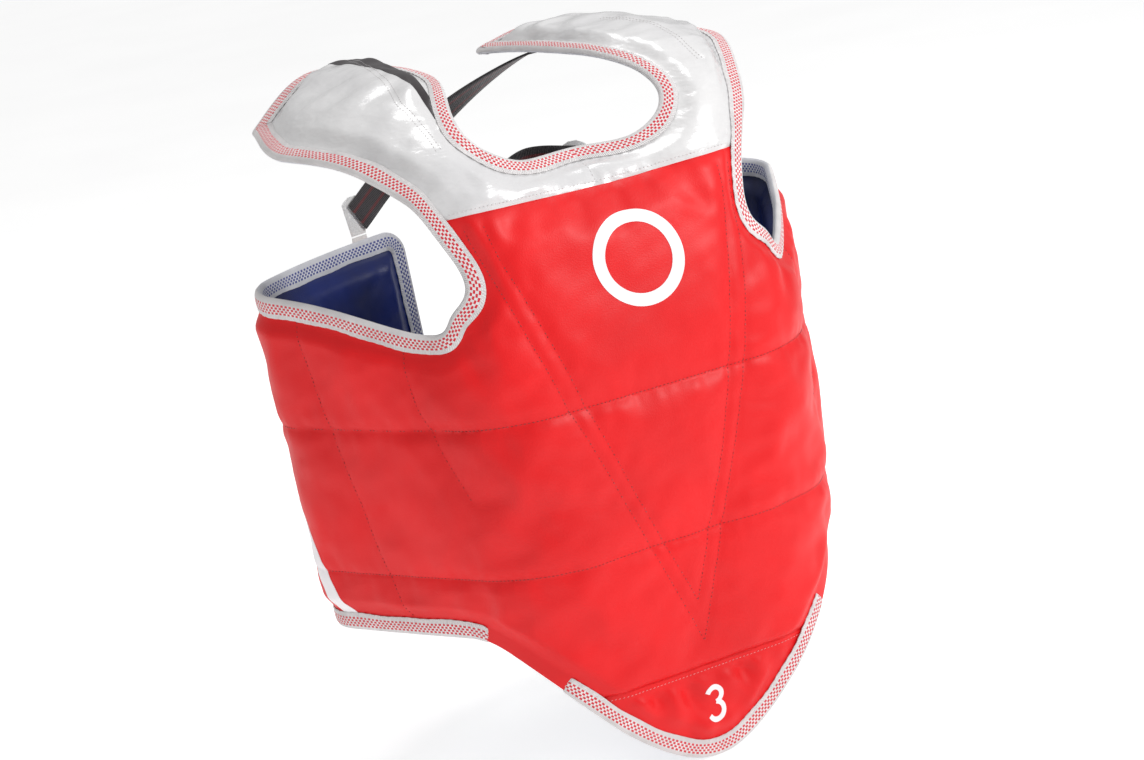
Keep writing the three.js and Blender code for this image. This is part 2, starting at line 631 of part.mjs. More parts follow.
// Waist strap: sewn near the left wing's back end, it bridges to a loop patch on the right wing.
function buildWaist() {
  const band = (line, [outer, inner]) => {
    const rows = [-0.5, 0.5].map((half) => WAIST.q + half * WAIST.width);
    return shell(rows.map((q) => line(q, outer)), rows.map((q) => line(q, inner)));
  };
  const onRightWing = ([from, to]) => (q, depth) => (
    planColumns(from, to).map((p) => padPoint({ p: -p, q }, depth))
  );
  const bridging = (q, depth) => {
    const at = (p) => padPoint({ p, q }, depth);
    const lead = (p) => at(p).add(at(p).sub(at(p * 0.99)).setLength(WAIST.bow));
    const gap = new THREE.CubicBezierCurve3(
      at(WING_END), lead(WING_END), lead(-WING_END), at(-WING_END));
    return [
      ...planColumns(WAIST.start, WING_END).map(at),
      ...gap.getPoints(8).slice(1, -1),
      ...onRightWing([WAIST.hook[0], WING_END])(q, depth).reverse(),
    ];
  };
  add('waist_loop_patch', band(onRightWing(WAIST.loop), WAIST_DEPTHS.loop), 'elastic');
  add('waist_hook_patch', band(onRightWing(WAIST.hook), WAIST_DEPTHS.hook), 'hook');
  add('waist_strap', band(bridging, WAIST_DEPTHS.strap), 'elastic');
}

buildTorso();
buildYoke();
buildTorsoBindings();
SIDES.forEach(buildWing);
SIDES.forEach(buildShoulder);
buildBottomFlap();
SIDES.forEach(buildTabs);
SIDES.forEach(buildBackStrap);
buildWaist();

export default protector;
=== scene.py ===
# Looks of the reversible trunk protector: padded red, navy and white vinyl, folded check tape,
# elastic straps and hook tabs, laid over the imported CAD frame.
#
# The garment is described on its flat pattern, in millimetres: p runs across it from the
# centre front (positive to the wearer's left), q runs up it from the tip of the bottom flap.
# sheet(p, q) wraps the pattern round the body as the CAD does, and depth is measured inwards.
import math

import bpy
import numpy as np
from mathutils import Matrix, Vector
from mathutils.kdtree import KDTree


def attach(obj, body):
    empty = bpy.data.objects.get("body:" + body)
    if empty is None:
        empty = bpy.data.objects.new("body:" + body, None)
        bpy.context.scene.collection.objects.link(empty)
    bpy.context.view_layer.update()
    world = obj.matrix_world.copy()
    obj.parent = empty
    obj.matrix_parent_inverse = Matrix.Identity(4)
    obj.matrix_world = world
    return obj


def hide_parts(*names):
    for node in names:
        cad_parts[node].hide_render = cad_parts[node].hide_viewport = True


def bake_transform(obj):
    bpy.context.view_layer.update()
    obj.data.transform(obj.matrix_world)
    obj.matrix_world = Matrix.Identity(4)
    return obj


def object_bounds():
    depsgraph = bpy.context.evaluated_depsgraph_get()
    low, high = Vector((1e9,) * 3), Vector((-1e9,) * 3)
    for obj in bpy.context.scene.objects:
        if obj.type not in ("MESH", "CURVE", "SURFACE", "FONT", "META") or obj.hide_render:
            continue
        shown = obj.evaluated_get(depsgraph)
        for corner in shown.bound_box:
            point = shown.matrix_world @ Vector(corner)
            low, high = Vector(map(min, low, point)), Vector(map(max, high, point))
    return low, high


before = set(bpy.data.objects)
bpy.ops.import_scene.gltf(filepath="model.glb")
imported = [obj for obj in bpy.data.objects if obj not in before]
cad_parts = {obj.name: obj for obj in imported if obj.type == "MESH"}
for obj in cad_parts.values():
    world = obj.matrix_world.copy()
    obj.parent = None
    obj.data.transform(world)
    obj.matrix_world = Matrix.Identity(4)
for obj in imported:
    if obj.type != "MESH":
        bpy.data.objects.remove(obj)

cad_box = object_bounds()
MM = 0.001         # the pattern is in millimetres, the scene in metres
EVERYWHERE = 99    # a distance too far for any seam to be felt

# ------------------------------------------------------------------ the wrapped pattern

# Two chains of arcs, each a list of lengths and the degrees they turn: PLAN goes round the body
# from the centre front, PROFILE goes up the front and over the shoulder.
PLAN = [(82, 0), (91, 60), (162, 3), (52, 77), (175, 25)]
PROFILE = [(240, 0), (160, 17.5), (70, -0.5), (70, 31), (100, 35), (160, 9)]
GIRTH_TAPER = 0.04 / 300   # the girth's growth for each millimetre up the pattern
TAPER_LEVEL = 302          # level where the girth is as in PLAN
TAPER_TOP = 445            # above it the girth grows no more
UPRIGHT_FROM = 120         # beyond this p the sheet turns from the profile's lean ...
UPRIGHT_RUN = 150          # ... to upright, over this distance
YOKE_FROM = 440            # the body's shape goes over into the shoulders' from this level ...
YOKE_RUN = 76              # ... over this height
PAD = 20                   # thickness of the padding
ORIGIN_HEIGHT = 205        # level of the frame's origin
FLAPS_FROM = 445           # the shoulder flaps' own lean starts at this level ...
FLAPS_RUN = 300            # ... and is full this far up
STRAP_CENTRE = 112         # p of the middle of a shoulder flap
SHOULDERS = {-1: (-73, 89, 6.7), 1: (-52, 29, -2.8)}   # lean, curl and roll of each flap
ARCH = {"height": 22, "reach": 70, "ease": 100, "round": 30}   # a shoulder flap's arch across

NECK_EDGE = [(-56, 508), (0, 514), (56, 508), (94, 527), (101, 566), (73, 640), (42, 783)]
ARM_EDGE = [(390, 418), (300, 407), (182, 381), (147, 396), (127, 433), (180, 540),
            (215, 640), (192, 716)]
FLAP_BULGE = 10          # how far a shoulder flap's end is rounded
FOLD = 182               # p of the bend between the front and a wing
ARMHOLE_LOW = 381
WING_END = 562
WING_CORNER = 18         # radius of the wings' corners
HEM_RISE = 135.5         # the hem climbs this much from the bottom flap's tip ...
HEM_RUN = 209            # ... over this p
FLAP_SEAM = 76.5
YOKE_LINE = 472
YOKE_HALF_WIDTH = 138
SHOULDER_FOLD = 545
YOKE_TOP = 525
QUILT_LINES = (186, 308)
SIDE_START = 150         # p where the side panels take over from the front below the armhole


def smooth(t):
    t = np.clip(t, 0, 1)
    return t * t * (3 - 2 * t)


def mix(a, b, t):
    return a + (b - a) * t


def walker(stretches):
    """Follows a chain of arcs: distance gives place along, place aside and heading."""
    legs = []
    start = along = aside = heading = 0.0
    for length, turn in stretches:
        bend = math.radians(turn) / length
        legs.append((start, along, aside, heading, bend))
        chord = length * np.sinc(bend * length / 2 / np.pi)
        along += chord * math.cos(heading + bend * length / 2)
        aside += chord * math.sin(heading + bend * length / 2)
        heading += bend * length
        start += length
    table = np.array(legs)

    def at(distance):
        distance = np.asarray(distance, float)
        leg = np.searchsorted(table[:, 0], distance, side="right") - 1
        begin, along, aside, heading, bend = np.moveaxis(table[np.clip(leg, 0, None)], -1, 0)
        run = distance - begin
        chord = run * np.sinc(bend * run / 2 / np.pi)
        middle = heading + bend * run / 2
        return along + chord * np.cos(middle), aside + chord * np.sin(middle), heading + bend * run
    return at


plan = walker(PLAN)
profile = walker(PROFILE)
STRAP_X, STRAP_Y, _ = plan(STRAP_CENTRE)


def sheet(p, q):
    """Place on the CAD's outer skin of each pattern place, in millimetres of the frame."""
    p, q = np.broadcast_arrays(np.asarray(p, float), np.asarray(q, float))
    a = np.abs(p)
    across_x, across_y, _ = plan(a)
    along, aside, lean = profile(q)
    girth = 1 + GIRTH_TAPER * (np.minimum(q, TAPER_TOP) - TAPER_LEVEL)
    upright = smooth((a - UPRIGHT_FROM) / UPRIGHT_RUN)
    low = np.stack([across_x * girth,
                    aside * (1 - upright) + across_y * girth,
                    mix(along, q, upright)], -1)
    side = np.where((p < 0)[..., None], SHOULDERS[-1], SHOULDERS[1])
    t = np.maximum(0, (q - FLAPS_FROM) / FLAPS_RUN)
    hold = smooth(a / STRAP_CENTRE)
    roll = np.radians(side[..., 2]) * smooth(3 * t) * hold
    rounded = np.hypot(a, ARCH["round"]) - STRAP_CENTRE
    arch = ARCH["height"] * (rounded / ARCH["reach"]) ** 2 / (1 + (rounded / ARCH["ease"]) ** 2)
    drop = (a - STRAP_CENTRE) * np.sin(roll) + arch
    sway = t * (side[..., 0] + side[..., 1] * t) * hold
    high = np.stack([a * STRAP_X / STRAP_CENTRE + sway,
                     aside + STRAP_Y + drop * np.cos(lean),
                     along - drop * np.sin(lean)], -1)
    point = mix(low, high, smooth((q - YOKE_FROM) / YOKE_RUN)[..., None])
    point[..., 0] *= np.where(p < 0, -1, 1)
    return point - (0, PAD, ORIGIN_HEIGHT)


def unit(v):
    return v / np.linalg.norm(v, axis=-1, keepdims=True)


def outward(p, q):
    """Unit normal of the sheet, away from the body."""
    across = sheet(p + 0.5, q) - sheet(p - 0.5, q)
    up = sheet(p, q + 0.5) - sheet(p, q - 0.5)
    return unit(np.cross(across, up))


def pad_point(p, q, depth):
    """Place at a depth below the CAD's outer skin."""
    return sheet(p, q) - outward(p, q) * np.asarray(depth, float)[..., None]


# ------------------------------------------------------------------ the outline

def hermite(a, b, leave, arrive, w):
    """Cubic from a to b with these end slopes, at share w."""
    cubic = 2 * a - 2 * b + leave + arrive
    square = 3 * b - 3 * a - 2 * leave - arrive
    return cubic * w ** 3 + square * w ** 2 + leave * w + a


def catmull(points, divisions):
    """Uniform Catmull-Rom spline through points, sampled evenly in its parameter."""
    points = np.array(points, float)
    last = len(points) - 1
    t = np.linspace(0, last, divisions + 1)
    i = np.minimum(t.astype(int), last)
    w = (t - i)[:, None]
    before, at = points[np.maximum(i - 1, 0)], points[i]
    after, beyond = points[np.minimum(i + 1, last)], points[np.minimum(i + 2, last)]
    before = np.where((i == 0)[:, None], at, before)
    return hermite(at, after, (after - before) / 2, (beyond - at) / 2, w)


neck_edge = catmull(NECK_EDGE, 300)
neck_edge = neck_edge[neck_edge[:, 0] >= -0.01]
arm_spline = catmull(ARM_EDGE, 336)
lowest = int(np.argmax(arm_spline[:, 0] <= FOLD + 0.01))
wing_edge = arm_spline[:lowest + 1][::-1]
arm_edge = arm_spline[lowest:]
neck_side = neck_edge[neck_edge[:, 1].argmin():]


def neck_at(q):
    return np.interp(q, neck_side[:, 1], neck_side[:, 0])


def arm_at(q):
    return np.interp(q, np.maximum.accumulate(arm_edge[:, 1]), arm_edge[:, 0])


def corner_cut(p):
    """How much a wing's rounded corner takes off at p."""
    into = np.clip((p - (WING_END - WING_CORNER)) / WING_CORNER, 0, 1)
    return WING_CORNER * (1 - np.sqrt(1 - into * into))


def hem_at(p):
    return HEM_RISE * smooth(np.abs(p) / HEM_RUN) + corner_cut(np.abs(p))


def wing_top(p):
    return np.interp(p, wing_edge[:, 0], wing_edge[:, 1]) - corner_cut(p)


def flap_place(t, v):
    """Pattern place on a shoulder flap: t runs from its fold to its end, v from neck to armhole."""
    neck_q = mix(SHOULDER_FOLD, NECK_EDGE[-1][1], t)
    arm_q = mix(SHOULDER_FOLD, ARM_EDGE[-1][1], t)
    bulge = 4 * v * (1 - v) * FLAP_BULGE * t * t
    return mix(neck_at(neck_q), arm_at(arm_q), v), mix(neck_q, arm_q, v) + bulge


def distances(line):
    """Distance of each point of a polyline from its start, along it."""
    return np.concatenate([[0], np.cumsum(np.linalg.norm(np.diff(line, axis=0), axis=1))])


def even_points(line, count):
    """This many points evenly along a polyline, and their distances from its start."""
    line = np.asarray(line, float)
    run = distances(line)
    s = np.linspace(0, run[-1], count)
    return np.stack([np.interp(s, run, line[:, k]) for k in range(line.shape[1])], 1), s


def resample(line, pitch):
    """Points along a polyline at about an even pitch, and their distances from its start."""
    return even_points(line, max(2, int(round(distances(line)[-1] / pitch)) + 1))


def tree_of(places):
    """Search tree over pattern places."""
    tree = KDTree(len(places))
    for i, (p, q) in enumerate(places):
        tree.insert((p, q, 0), i)
    tree.balance()
    return tree


class Lines:
    """Distance on the pattern from any place to the nearest of some polylines."""

    def __init__(self, polylines, mirror=True):
        self.mirror = mirror
        self.tree = tree_of(np.concatenate([resample(line, 0.8)[0] for line in polylines]))

    def distance(self, p, q):
        p, q = np.broadcast_arrays(p, q)
        a = np.abs(p) if self.mirror else p
        find = self.tree.find
        return np.array([find((x, y, 0))[2] for x, y in zip(a.ravel(), q.ravel())]).reshape(p.shape)


def flap_line(ts, vs):
    p, q = flap_place(np.asarray(ts, float), np.asarray(vs, float))
    return np.stack([p, q], 1)


ONE = np.linspace(0, 1, 61)
CORNER_START = 540   # the wing's edges are followed evenly up to here, then by angle
arm_low = arm_edge[arm_edge[:, 1] < SHOULDER_FOLD]
neck_low = neck_edge[neck_edge[:, 1] < SHOULDER_FOLD]
corner_columns = WING_END - WING_CORNER * (1 - np.sin(ONE * np.pi / 2))
columns_wing = np.concatenate([np.linspace(FOLD, CORNER_START, 60), corner_columns])
neckline = np.concatenate([neck_low, flap_line(ONE, 0 * ONE)])
flap_back = flap_line(0 * ONE + 1, ONE)
armhole = np.concatenate([arm_low, flap_line(ONE, 0 * ONE + 1)])
wing_line = np.stack([columns_wing, wing_top(columns_wing)], 1)
hem_columns = np.concatenate([np.linspace(0, CORNER_START, 240), corner_columns])
hem_line = np.stack([hem_columns, hem_at(hem_columns)], 1)
rim = Lines([neckline, flap_back, armhole, wing_line, hem_line,
             [(WING_END, wing_top(WING_END)), (WING_END, hem_at(WING_END))]])

# ------------------------------------------------------------------ sewn lines of the pattern

V_OUTER = [(0, 98), (40, 206), (78, 310), (94, 368), (106, 420), (117, 462)]
V_INNER = [(0, 132), (36, 226), (64, 310), (96, 430), (102, 462)]
DIAGONAL_LONG = [(312, 396), (298, 308), (286, 254), (272, 186), (262, 150)]
DIAGONAL_SHORT = [(208, 374), (204, 328), (186, 282), (172, 252)]
NEAR_SHOULDER = [(78, 758), (110, 672), (132, 592), (126, 530), (106, 492)]
FAR_SHOULDER = [(126, 670), (148, 612), (150, 558), (136, 502), (122, 480)]
CENTRE_SEAM = 2   # p of the short seam up the middle of the yoke
vees = Lines([V_OUTER, V_INNER, DIAGONAL_LONG, DIAGONAL_SHORT])
shoulder_seams = Lines([[(-p, q) for p, q in NEAR_SHOULDER], FAR_SHOULDER], mirror=False)

# ------------------------------------------------------------------ the padding's relief

def ripples(p, q, shortest, longest, count, seed, stretch=1.0):
    """Seeded sum of waves of unit size; stretch > 1 lengthens them along p."""
    draw = np.random.default_rng(seed)
    total = 0
    for _ in range(count):
        length = draw.uniform(shortest, longest)
        angle = draw.uniform(0, np.pi)
        phase = draw.uniform(0, 2 * np.pi)
        along = p * np.cos(angle) / stretch + q * np.sin(angle)
        total = total + np.sin(2 * np.pi * along / length + phase)
    return total / math.sqrt(count / 2)


RIM_FLAT = 12      # width of the pinched rim
RIM_RISE = 16      # the padding rises to its full thickness over this width
RIM_SINK = 6       # depth of the cover at the rim
RIM_LIFT = 9.4     # the lining is this much above the padding's back at the rim
SEAM_HALF = 114    # half length of the bottom flap's seam
FLANK_FROM = 190   # beyond this p the padding is flatter ...
FLANK_RUN = 70     # ... fully so after this distance


def valley(distance, width):
    """1 on a seam, falling to 0 beside it."""
    return np.exp(-(distance / width) ** 2)


def quilting(p, q):
    """Sewn channels: depth of the soft valley and of the fine thread groove, in millimetres."""
    to_quilt = np.minimum(np.abs(q - QUILT_LINES[0]), np.abs(q - QUILT_LINES[1]))
    on_band = (q < YOKE_LINE - 2) & (q > FLAP_SEAM - 20)
    to_quilt = np.where(on_band, to_quilt, EVERYWHERE)
    to_yoke = np.where(np.abs(p) < SIDE_START, np.abs(q - YOKE_LINE), EVERYWHERE)
    to_flap = np.where(np.abs(p) < SEAM_HALF, q - FLAP_SEAM, EVERYWHERE)
    to_vee = np.where(on_band, vees.distance(p, q), EVERYWHERE)
    to_shoulder = np.where(q > YOKE_LINE, shoulder_seams.distance(p, q), EVERYWHERE)
    to_centre = np.where((q > YOKE_LINE) & (q < 520), np.abs(p - CENTRE_SEAM), EVERYWHERE)
    flap_width = np.where(to_flap > 0, 2.5, 15)   # the chest overhangs the bottom flap
    soft = 1.9 * valley(to_quilt, 6) + 2.0 * valley(to_yoke, 6) + 3.2 * valley(to_flap, flap_width)
    soft = soft + 0.7 * valley(to_vee, 4) + 1.0 * valley(to_shoulder, 5) + 0.9 * valley(to_centre, 4)
    fine = valley(to_quilt, 1.3) + valley(to_yoke, 1.2) + valley(to_flap, 1.2) + 0.6 * valley(to_vee, 1.2)
    return soft, fine, np.minimum(to_quilt, to_yoke)


swell = None   # filled in by the cloth simulation: millimetres outward at pattern places


def outer_depth(p, q):
    """Depth of the outer cloth below the CAD's outer skin, in millimetres."""
    p, q = np.broadcast_arrays(np.asarray(p, float), np.asarray(q, float))
    edge = rim.distance(p, q)
    crown = smooth((edge - RIM_FLAT) / RIM_RISE)
    soft, fine, seam = quilting(p, q)
    flank = smooth((np.abs(p) - FLANK_FROM) / FLANK_RUN)
    soft = soft * mix(0.35, 1, crown) * mix(1, 0.5, flank)
    depth = RIM_SINK * (1 - crown) + soft + 0.7 * fine
    # Leather creases: soft and small on the red vinyl, sharp and stretched across on the white.
    white = smooth((q - YOKE_LINE) / 8)
    calm = 0.4 * ripples(p, q, 40, 110, 7, 3) + 0.1 * ripples(p, q, 14, 30, 9, 4)
    glossy = 0.5 * ripples(p, q, 12, 30, 10, 5, 2.6) + 0.5 * ripples(p, q, 45, 90, 5, 6)
    depth = depth + crown * mix(calm, glossy, white)
    # Puckers beside the sewn lines.
    beside_seam = np.exp(-seam / 7) * np.clip(seam / 3, 0, 1)
    depth = depth + 0.32 * crown * beside_seam * np.sin(2 * np.pi * p / 13 + 2.2 * np.sin(p / 31))
    # Lumps of the bottom flap.
    lump = smooth((FLAP_SEAM - 4 - q) / 10) * crown
    depth = depth + 2.0 * lump * ripples(p, q, 24, 52, 6, 8, 0.8)
    # Gathers along the tape of the far shoulder flap.
    gather = smooth((p - 40) / 20) * smooth((q - 550) / 30) * np.exp(-np.maximum(0, edge - 14) / 14)
    depth = depth + 0.9 * gather * crown * np.sin(2 * np.pi * q / 17 + np.sin(q / 23))
    if swell is not None:
        depth = depth - swell(p, q) * crown * mix(1, 0.55, flank)
    return depth


def inner_depth(p, q):
    """Depth of the lining below the CAD's outer skin, in millimetres."""
    p, q = np.broadcast_arrays(np.asarray(p, float), np.asarray(q, float))
    crown = smooth((rim.distance(p, q) - RIM_FLAT) / RIM_RISE)
    soft, fine, _ = quilting(p, q)
    waves = 0.3 * ripples(p, q, 35, 90, 8, 11) + 0.12 * ripples(p, q, 12, 26, 8, 12)
    seams = (0.6 * soft + 0.5 * fine) * mix(0.3, 1, crown)
    return PAD - RIM_LIFT * (1 - crown) - seams + crown * (waves - 0.3)


# ------------------------------------------------------------------ meshes

def new_object(name, vertices, faces, material, uv=None, sharp=None):
    """A shaded mesh piece; vertices in millimetres, uv one pair per vertex."""
    mesh = bpy.data.meshes.new(name)
    mesh.from_pydata((np.asarray(vertices) * MM).tolist(), [], [list(map(int, f)) for f in faces])
    mesh.polygons.foreach_set("use_smooth", [True] * len(mesh.polygons))
    if uv is not None:
        layer = mesh.uv_layers.new(name="pattern")
        corner = np.empty(len(mesh.loops), int)
        mesh.loops.foreach_get("vertex_index", corner)
        layer.data.foreach_set("uv", (np.asarray(uv, np.float32)[corner] * MM).ravel())
    if sharp is not None:
        mesh.set_sharp_from_angle(angle=math.radians(sharp))
    piece = bpy.data.objects.new(name, mesh)
    bpy.context.scene.collection.objects.link(piece)
    mesh.materials.append(material)
    return piece


def grid_faces(mask):
    """Quads of a grid's kept cells and the directed edges round them."""
    rows, columns = mask.shape
    index = np.arange((rows + 1) * (columns + 1)).reshape(rows + 1, columns + 1)
    a, b = index[:-1, :-1], index[:-1, 1:]
    c, d = index[1:, 1:], index[1:, :-1]
    quads = np.stack([a[mask], b[mask], c[mask], d[mask]], 1)
    padded = np.pad(mask, 1)
    bare = {
        "low": mask & ~padded[:-2, 1:-1], "high": mask & ~padded[2:, 1:-1],
        "left": mask & ~padded[1:-1, :-2], "right": mask & ~padded[1:-1, 2:],
    }
    edges = np.concatenate([
        np.stack([a[bare["low"]], b[bare["low"]]], 1), np.stack([b[bare["right"]], c[bare["right"]]], 1),
        np.stack([c[bare["high"]], d[bare["high"]]], 1), np.stack([d[bare["left"]], a[bare["left"]]], 1)])
    return quads, edges


def slab(name, p, q, top, bottom, material, mask=None, sharp=50):
    """A closed layer over a grid of pattern places; top and bottom are depths, top the outer one."""
    if mask is None:
        mask = np.ones((p.shape[0] - 1, p.shape[1] - 1), bool)
    upper = pad_point(p, q, top).reshape(-1, 3)
    lower = pad_point(p, q, bottom).reshape(-1, 3)
    quads, edges = grid_faces(mask)
    n = len(upper)
    walls = np.stack([edges[:, 1], edges[:, 0], edges[:, 0] + n, edges[:, 1] + n], 1)
    faces = np.concatenate([quads, quads[:, ::-1] + n, walls])
    used, faces = np.unique(faces, return_inverse=True)
    vertices = np.concatenate([upper, lower])[used]
    uv = np.tile(np.stack([p.ravel(), q.ravel()], 1), (2, 1))[used]
    return new_object(name, vertices, faces.reshape(-1, 4), material, uv, sharp)


def tube(name, rings, material, uv, sharp=40):
    """A tube through equal rings of points, with capped ends."""
    count, around = rings.shape[:2]
    index = np.arange(count * around).reshape(count, around)
    behind, ahead = index[:-1], index[1:]
    quads = np.stack([behind, np.roll(behind, -1, axis=1), np.roll(ahead, -1, axis=1), ahead], -1)
    caps = [index[0][::-1].tolist(), index[-1].tolist()]
    faces = quads.reshape(-1, 4).tolist() + caps
    return new_object(name, rings.reshape(-1, 3), faces, material, uv.reshape(-1, 2), sharp)


def fix_normals(piece):
    """Turns a closed piece the right way out if its signed volume is negative."""
    mesh = piece.data
    mesh.calc_loop_triangles()
    co = np.empty(len(mesh.vertices) * 3)
    mesh.vertices.foreach_get("co", co)
    co = co.reshape(-1, 3)
    tri = np.array([t.vertices[:] for t in mesh.loop_triangles])
    six = np.einsum("ij,ij->i", co[tri[:, 0]], np.cross(co[tri[:, 1]], co[tri[:, 2]])).sum()
    if six < 0:
        mesh.flip_normals()
    return piece


# ------------------------------------------------------------------ materials

class Shader:
    """A node material built in short lines."""

    def __init__(self, name):
        self.material = bpy.data.materials.new(name)
        self.material.use_nodes = True
        self.tree = self.material.node_tree
        self.surface = self.tree.nodes["Principled BSDF"]
        self.place = self.add("ShaderNodeTexCoord").outputs["Object"]
        self.pattern = self.add("ShaderNodeUVMap").outputs["UV"]

    def add(self, kind, inputs=None, **settings):
        node = self.tree.nodes.new(kind)
        for key, value in settings.items():
            setattr(node, key, value)
        for key, value in (inputs or {}).items():
            self.put(node.inputs[key], value)
        return node

    def put(self, socket, value):
        if isinstance(value, bpy.types.NodeSocket):
            self.tree.links.new(value, socket)
        else:
            socket.default_value = value

    def math(self, operation, *values):
        node = self.add("ShaderNodeMath", operation=operation)
        for socket, value in zip(node.inputs, values):
            self.put(socket, value)
        return node.outputs[0]

    def noise(self, scale, detail=3, roughness=0.5, where=None):
        node = self.add("ShaderNodeTexNoise", {"Vector": where or self.place, "Scale": scale,
                                               "Detail": detail, "Roughness": roughness})
        return node.outputs[0]

    def cells(self, scale):
        node = self.add("ShaderNodeTexVoronoi", {"Vector": self.place, "Scale": scale})
        return node.outputs["Distance"]

    def span(self, value, low, high):
        """0 at low, 1 at high, even between."""
        node = self.add("ShaderNodeMapRange", {"Value": value, "From Min": low, "From Max": high})
        return node.outputs[0]

    def mottle(self, scale, tone, darker):
        """Cloudy mix of a colour and a darker tone of it."""
        cloud = self.span(self.noise(scale), 0.3, 0.7)
        return self.mix(cloud, tone, [c * darker for c in tone[:3]] + [1])

    def mix(self, factor, a, b):
        node = self.add("ShaderNodeMix", data_type="RGBA")
        self.put(node.inputs[0], factor)
        self.put(node.inputs[6], a)
        self.put(node.inputs[7], b)
        return node.outputs[2]

    def stretched(self, x, y, z):
        node = self.add("ShaderNodeVectorMath", {0: self.place, 1: (x, y, z)}, operation="MULTIPLY")
        return node.outputs[0]

    def along_and_across(self):
        """The piece's pattern coordinates, in metres."""
        return self.add("ShaderNodeSeparateXYZ", {0: self.pattern}).outputs[:2]

    def bump(self, height, distance, below=None):
        node = self.add("ShaderNodeBump", {"Height": height, "Distance": distance, "Strength": 1.0})
        if below is not None:
            self.put(node.inputs["Normal"], below)
        return node.outputs[0]

    def finish(self, **inputs):
        names = {"colour": "Base Color", "roughness": "Roughness", "normal": "Normal",
                 "coat": "Coat Weight", "coat_roughness": "Coat Roughness", "sheen": "Sheen Weight",
                 "specular": "Specular IOR Level", "glow": "Emission Strength"}
        for key, value in inputs.items():
            self.put(self.surface.inputs[names[key]], value)
        return self.material


def colour(red, green, blue):
    """Linear colour from the usual 0 to 255 values."""
    def channel(value):
        share = value / 255
        return share / 12.92 if share <= 0.04045 else ((share + 0.055) / 1.055) ** 2.4
    return (channel(red), channel(green), channel(blue), 1)


def vinyl(name, deep, bright, roughness, coat, grain, waves=0.0):
    """Coated cloth: fine leather grain, slight mottling, scuffs that dull the shine."""
    s = Shader(name)
    leather = s.cells(900)
    fine = s.noise(2600, 2)
    scuff = s.noise(38, 5, 0.6)
    tint = s.span(s.noise(9, 4), 0.35, 0.65)
    height = s.math("ADD", s.math("MULTIPLY", leather, 0.7), s.math("MULTIPLY", fine, 0.3))
    normal = s.bump(height, grain)
    if waves:
        wave = s.noise(1, 3, 0.45, s.stretched(26, 26, 60))
        normal = s.bump(wave, waves, below=normal)
    dull = s.math("MULTIPLY", s.span(scuff, 0.55, 0.75), 0.12)
    return s.finish(colour=s.mix(tint, deep, bright), roughness=s.math("ADD", roughness, dull),
                    normal=normal, coat=coat, coat_roughness=0.28, specular=0.35)


DOT_ROW = 0.0021      # width of a row of the tape's dots
DOT_PITCH = 0.0042    # distance between dots along a row


def check_tape(name, dots, ground):
    """Woven tape: four rows of small dots between plain margins, and a fine cross weave."""
    s = Shader(name)
    along, across = s.along_and_across()
    rows = s.math("DIVIDE", s.math("ABSOLUTE", across), DOT_ROW)
    shift = s.math("MULTIPLY", s.math("MODULO", s.math("FLOOR", rows), 2), 0.5)
    place = s.math("FRACT", s.math("ADD", s.math("DIVIDE", along, DOT_PITCH), shift))
    off_row = s.math("ABSOLUTE", s.math("SUBTRACT", s.math("FRACT", rows), 0.5))
    off_dot = s.math("ABSOLUTE", s.math("SUBTRACT", place, 0.5))
    dot = s.math("MULTIPLY", s.math("LESS_THAN", off_row, 0.4), s.math("LESS_THAN", off_dot, 0.29))
    banded = s.math("MULTIPLY", s.math("GREATER_THAN", rows, 2.0), s.math("LESS_THAN", rows, 6.0))
    weave = s.math("MULTIPLY", s.math("SINE", s.math("MULTIPLY", along, 7000)),
                   s.math("SINE", s.math("MULTIPLY", across, 7000)))
    cloth = s.mottle(60, ground, 0.86)
    margin = s.math("SUBTRACT", 1, banded)
    ribs = s.math("SINE", s.math("ADD", s.math("MULTIPLY", along, 3900), s.math("MULTIPLY", across, 1500)))
    relief = s.math("ADD", s.math("MULTIPLY", ribs, margin), s.math("MULTIPLY", weave, 0.4))
    wavy = s.bump(s.noise(160, 2), 0.0006, below=s.bump(relief, 0.0003))
    return s.finish(colour=s.mix(s.math("MULTIPLY", dot, banded), cloth, dots), roughness=0.78,
                    normal=wavy, sheen=0.25)


def elastic_webbing():
    """Black ribbed elastic with dark red lines along it."""
    s = Shader("elastic_webbing")
    along, across = s.along_and_across()
    ribs = s.math("SINE", s.math("MULTIPLY", along, 4200))
    off_line = s.math("ABSOLUTE", s.math("SUBTRACT", s.math("ABSOLUTE", across), 0.0062))
    line = s.math("LESS_THAN", off_line, 0.0013)
    black = s.mix(s.span(s.noise(90, 3), 0.3, 0.7), colour(22, 20, 22), colour(38, 33, 34))
    threads = s.mix(s.span(ribs, -1, 1), black, colour(50, 44, 46))
    return s.finish(colour=s.mix(line, threads, colour(92, 18, 22)), roughness=0.72,
                    normal=s.bump(ribs, 0.0002), sheen=0.3)


def hook_and_loop(name, ground, scale=1500):
    """Fuzzy fastening tape."""
    s = Shader(name)
    hooks = s.cells(scale)
    fuzz = s.noise(900, 4, 0.7)
    shade = s.mix(s.span(hooks, 0.1, 0.7), ground, [c * 0.8 for c in ground[:3]] + [1])
    normal = s.bump(s.math("ADD", hooks, fuzz), 0.0005)
    return s.finish(colour=shade, roughness=0.9, normal=normal, sheen=0.5)


def thread(name, tone):
    """Twisted sewing thread."""
    s = Shader(name)
    twist = s.noise(1800, 2)
    return s.finish(colour=s.mix(s.span(twist, 0.3, 0.7), tone, [c * 0.7 for c in tone[:3]] + [1]),
                    roughness=0.7, normal=s.bump(twist, 0.0002), sheen=0.3)


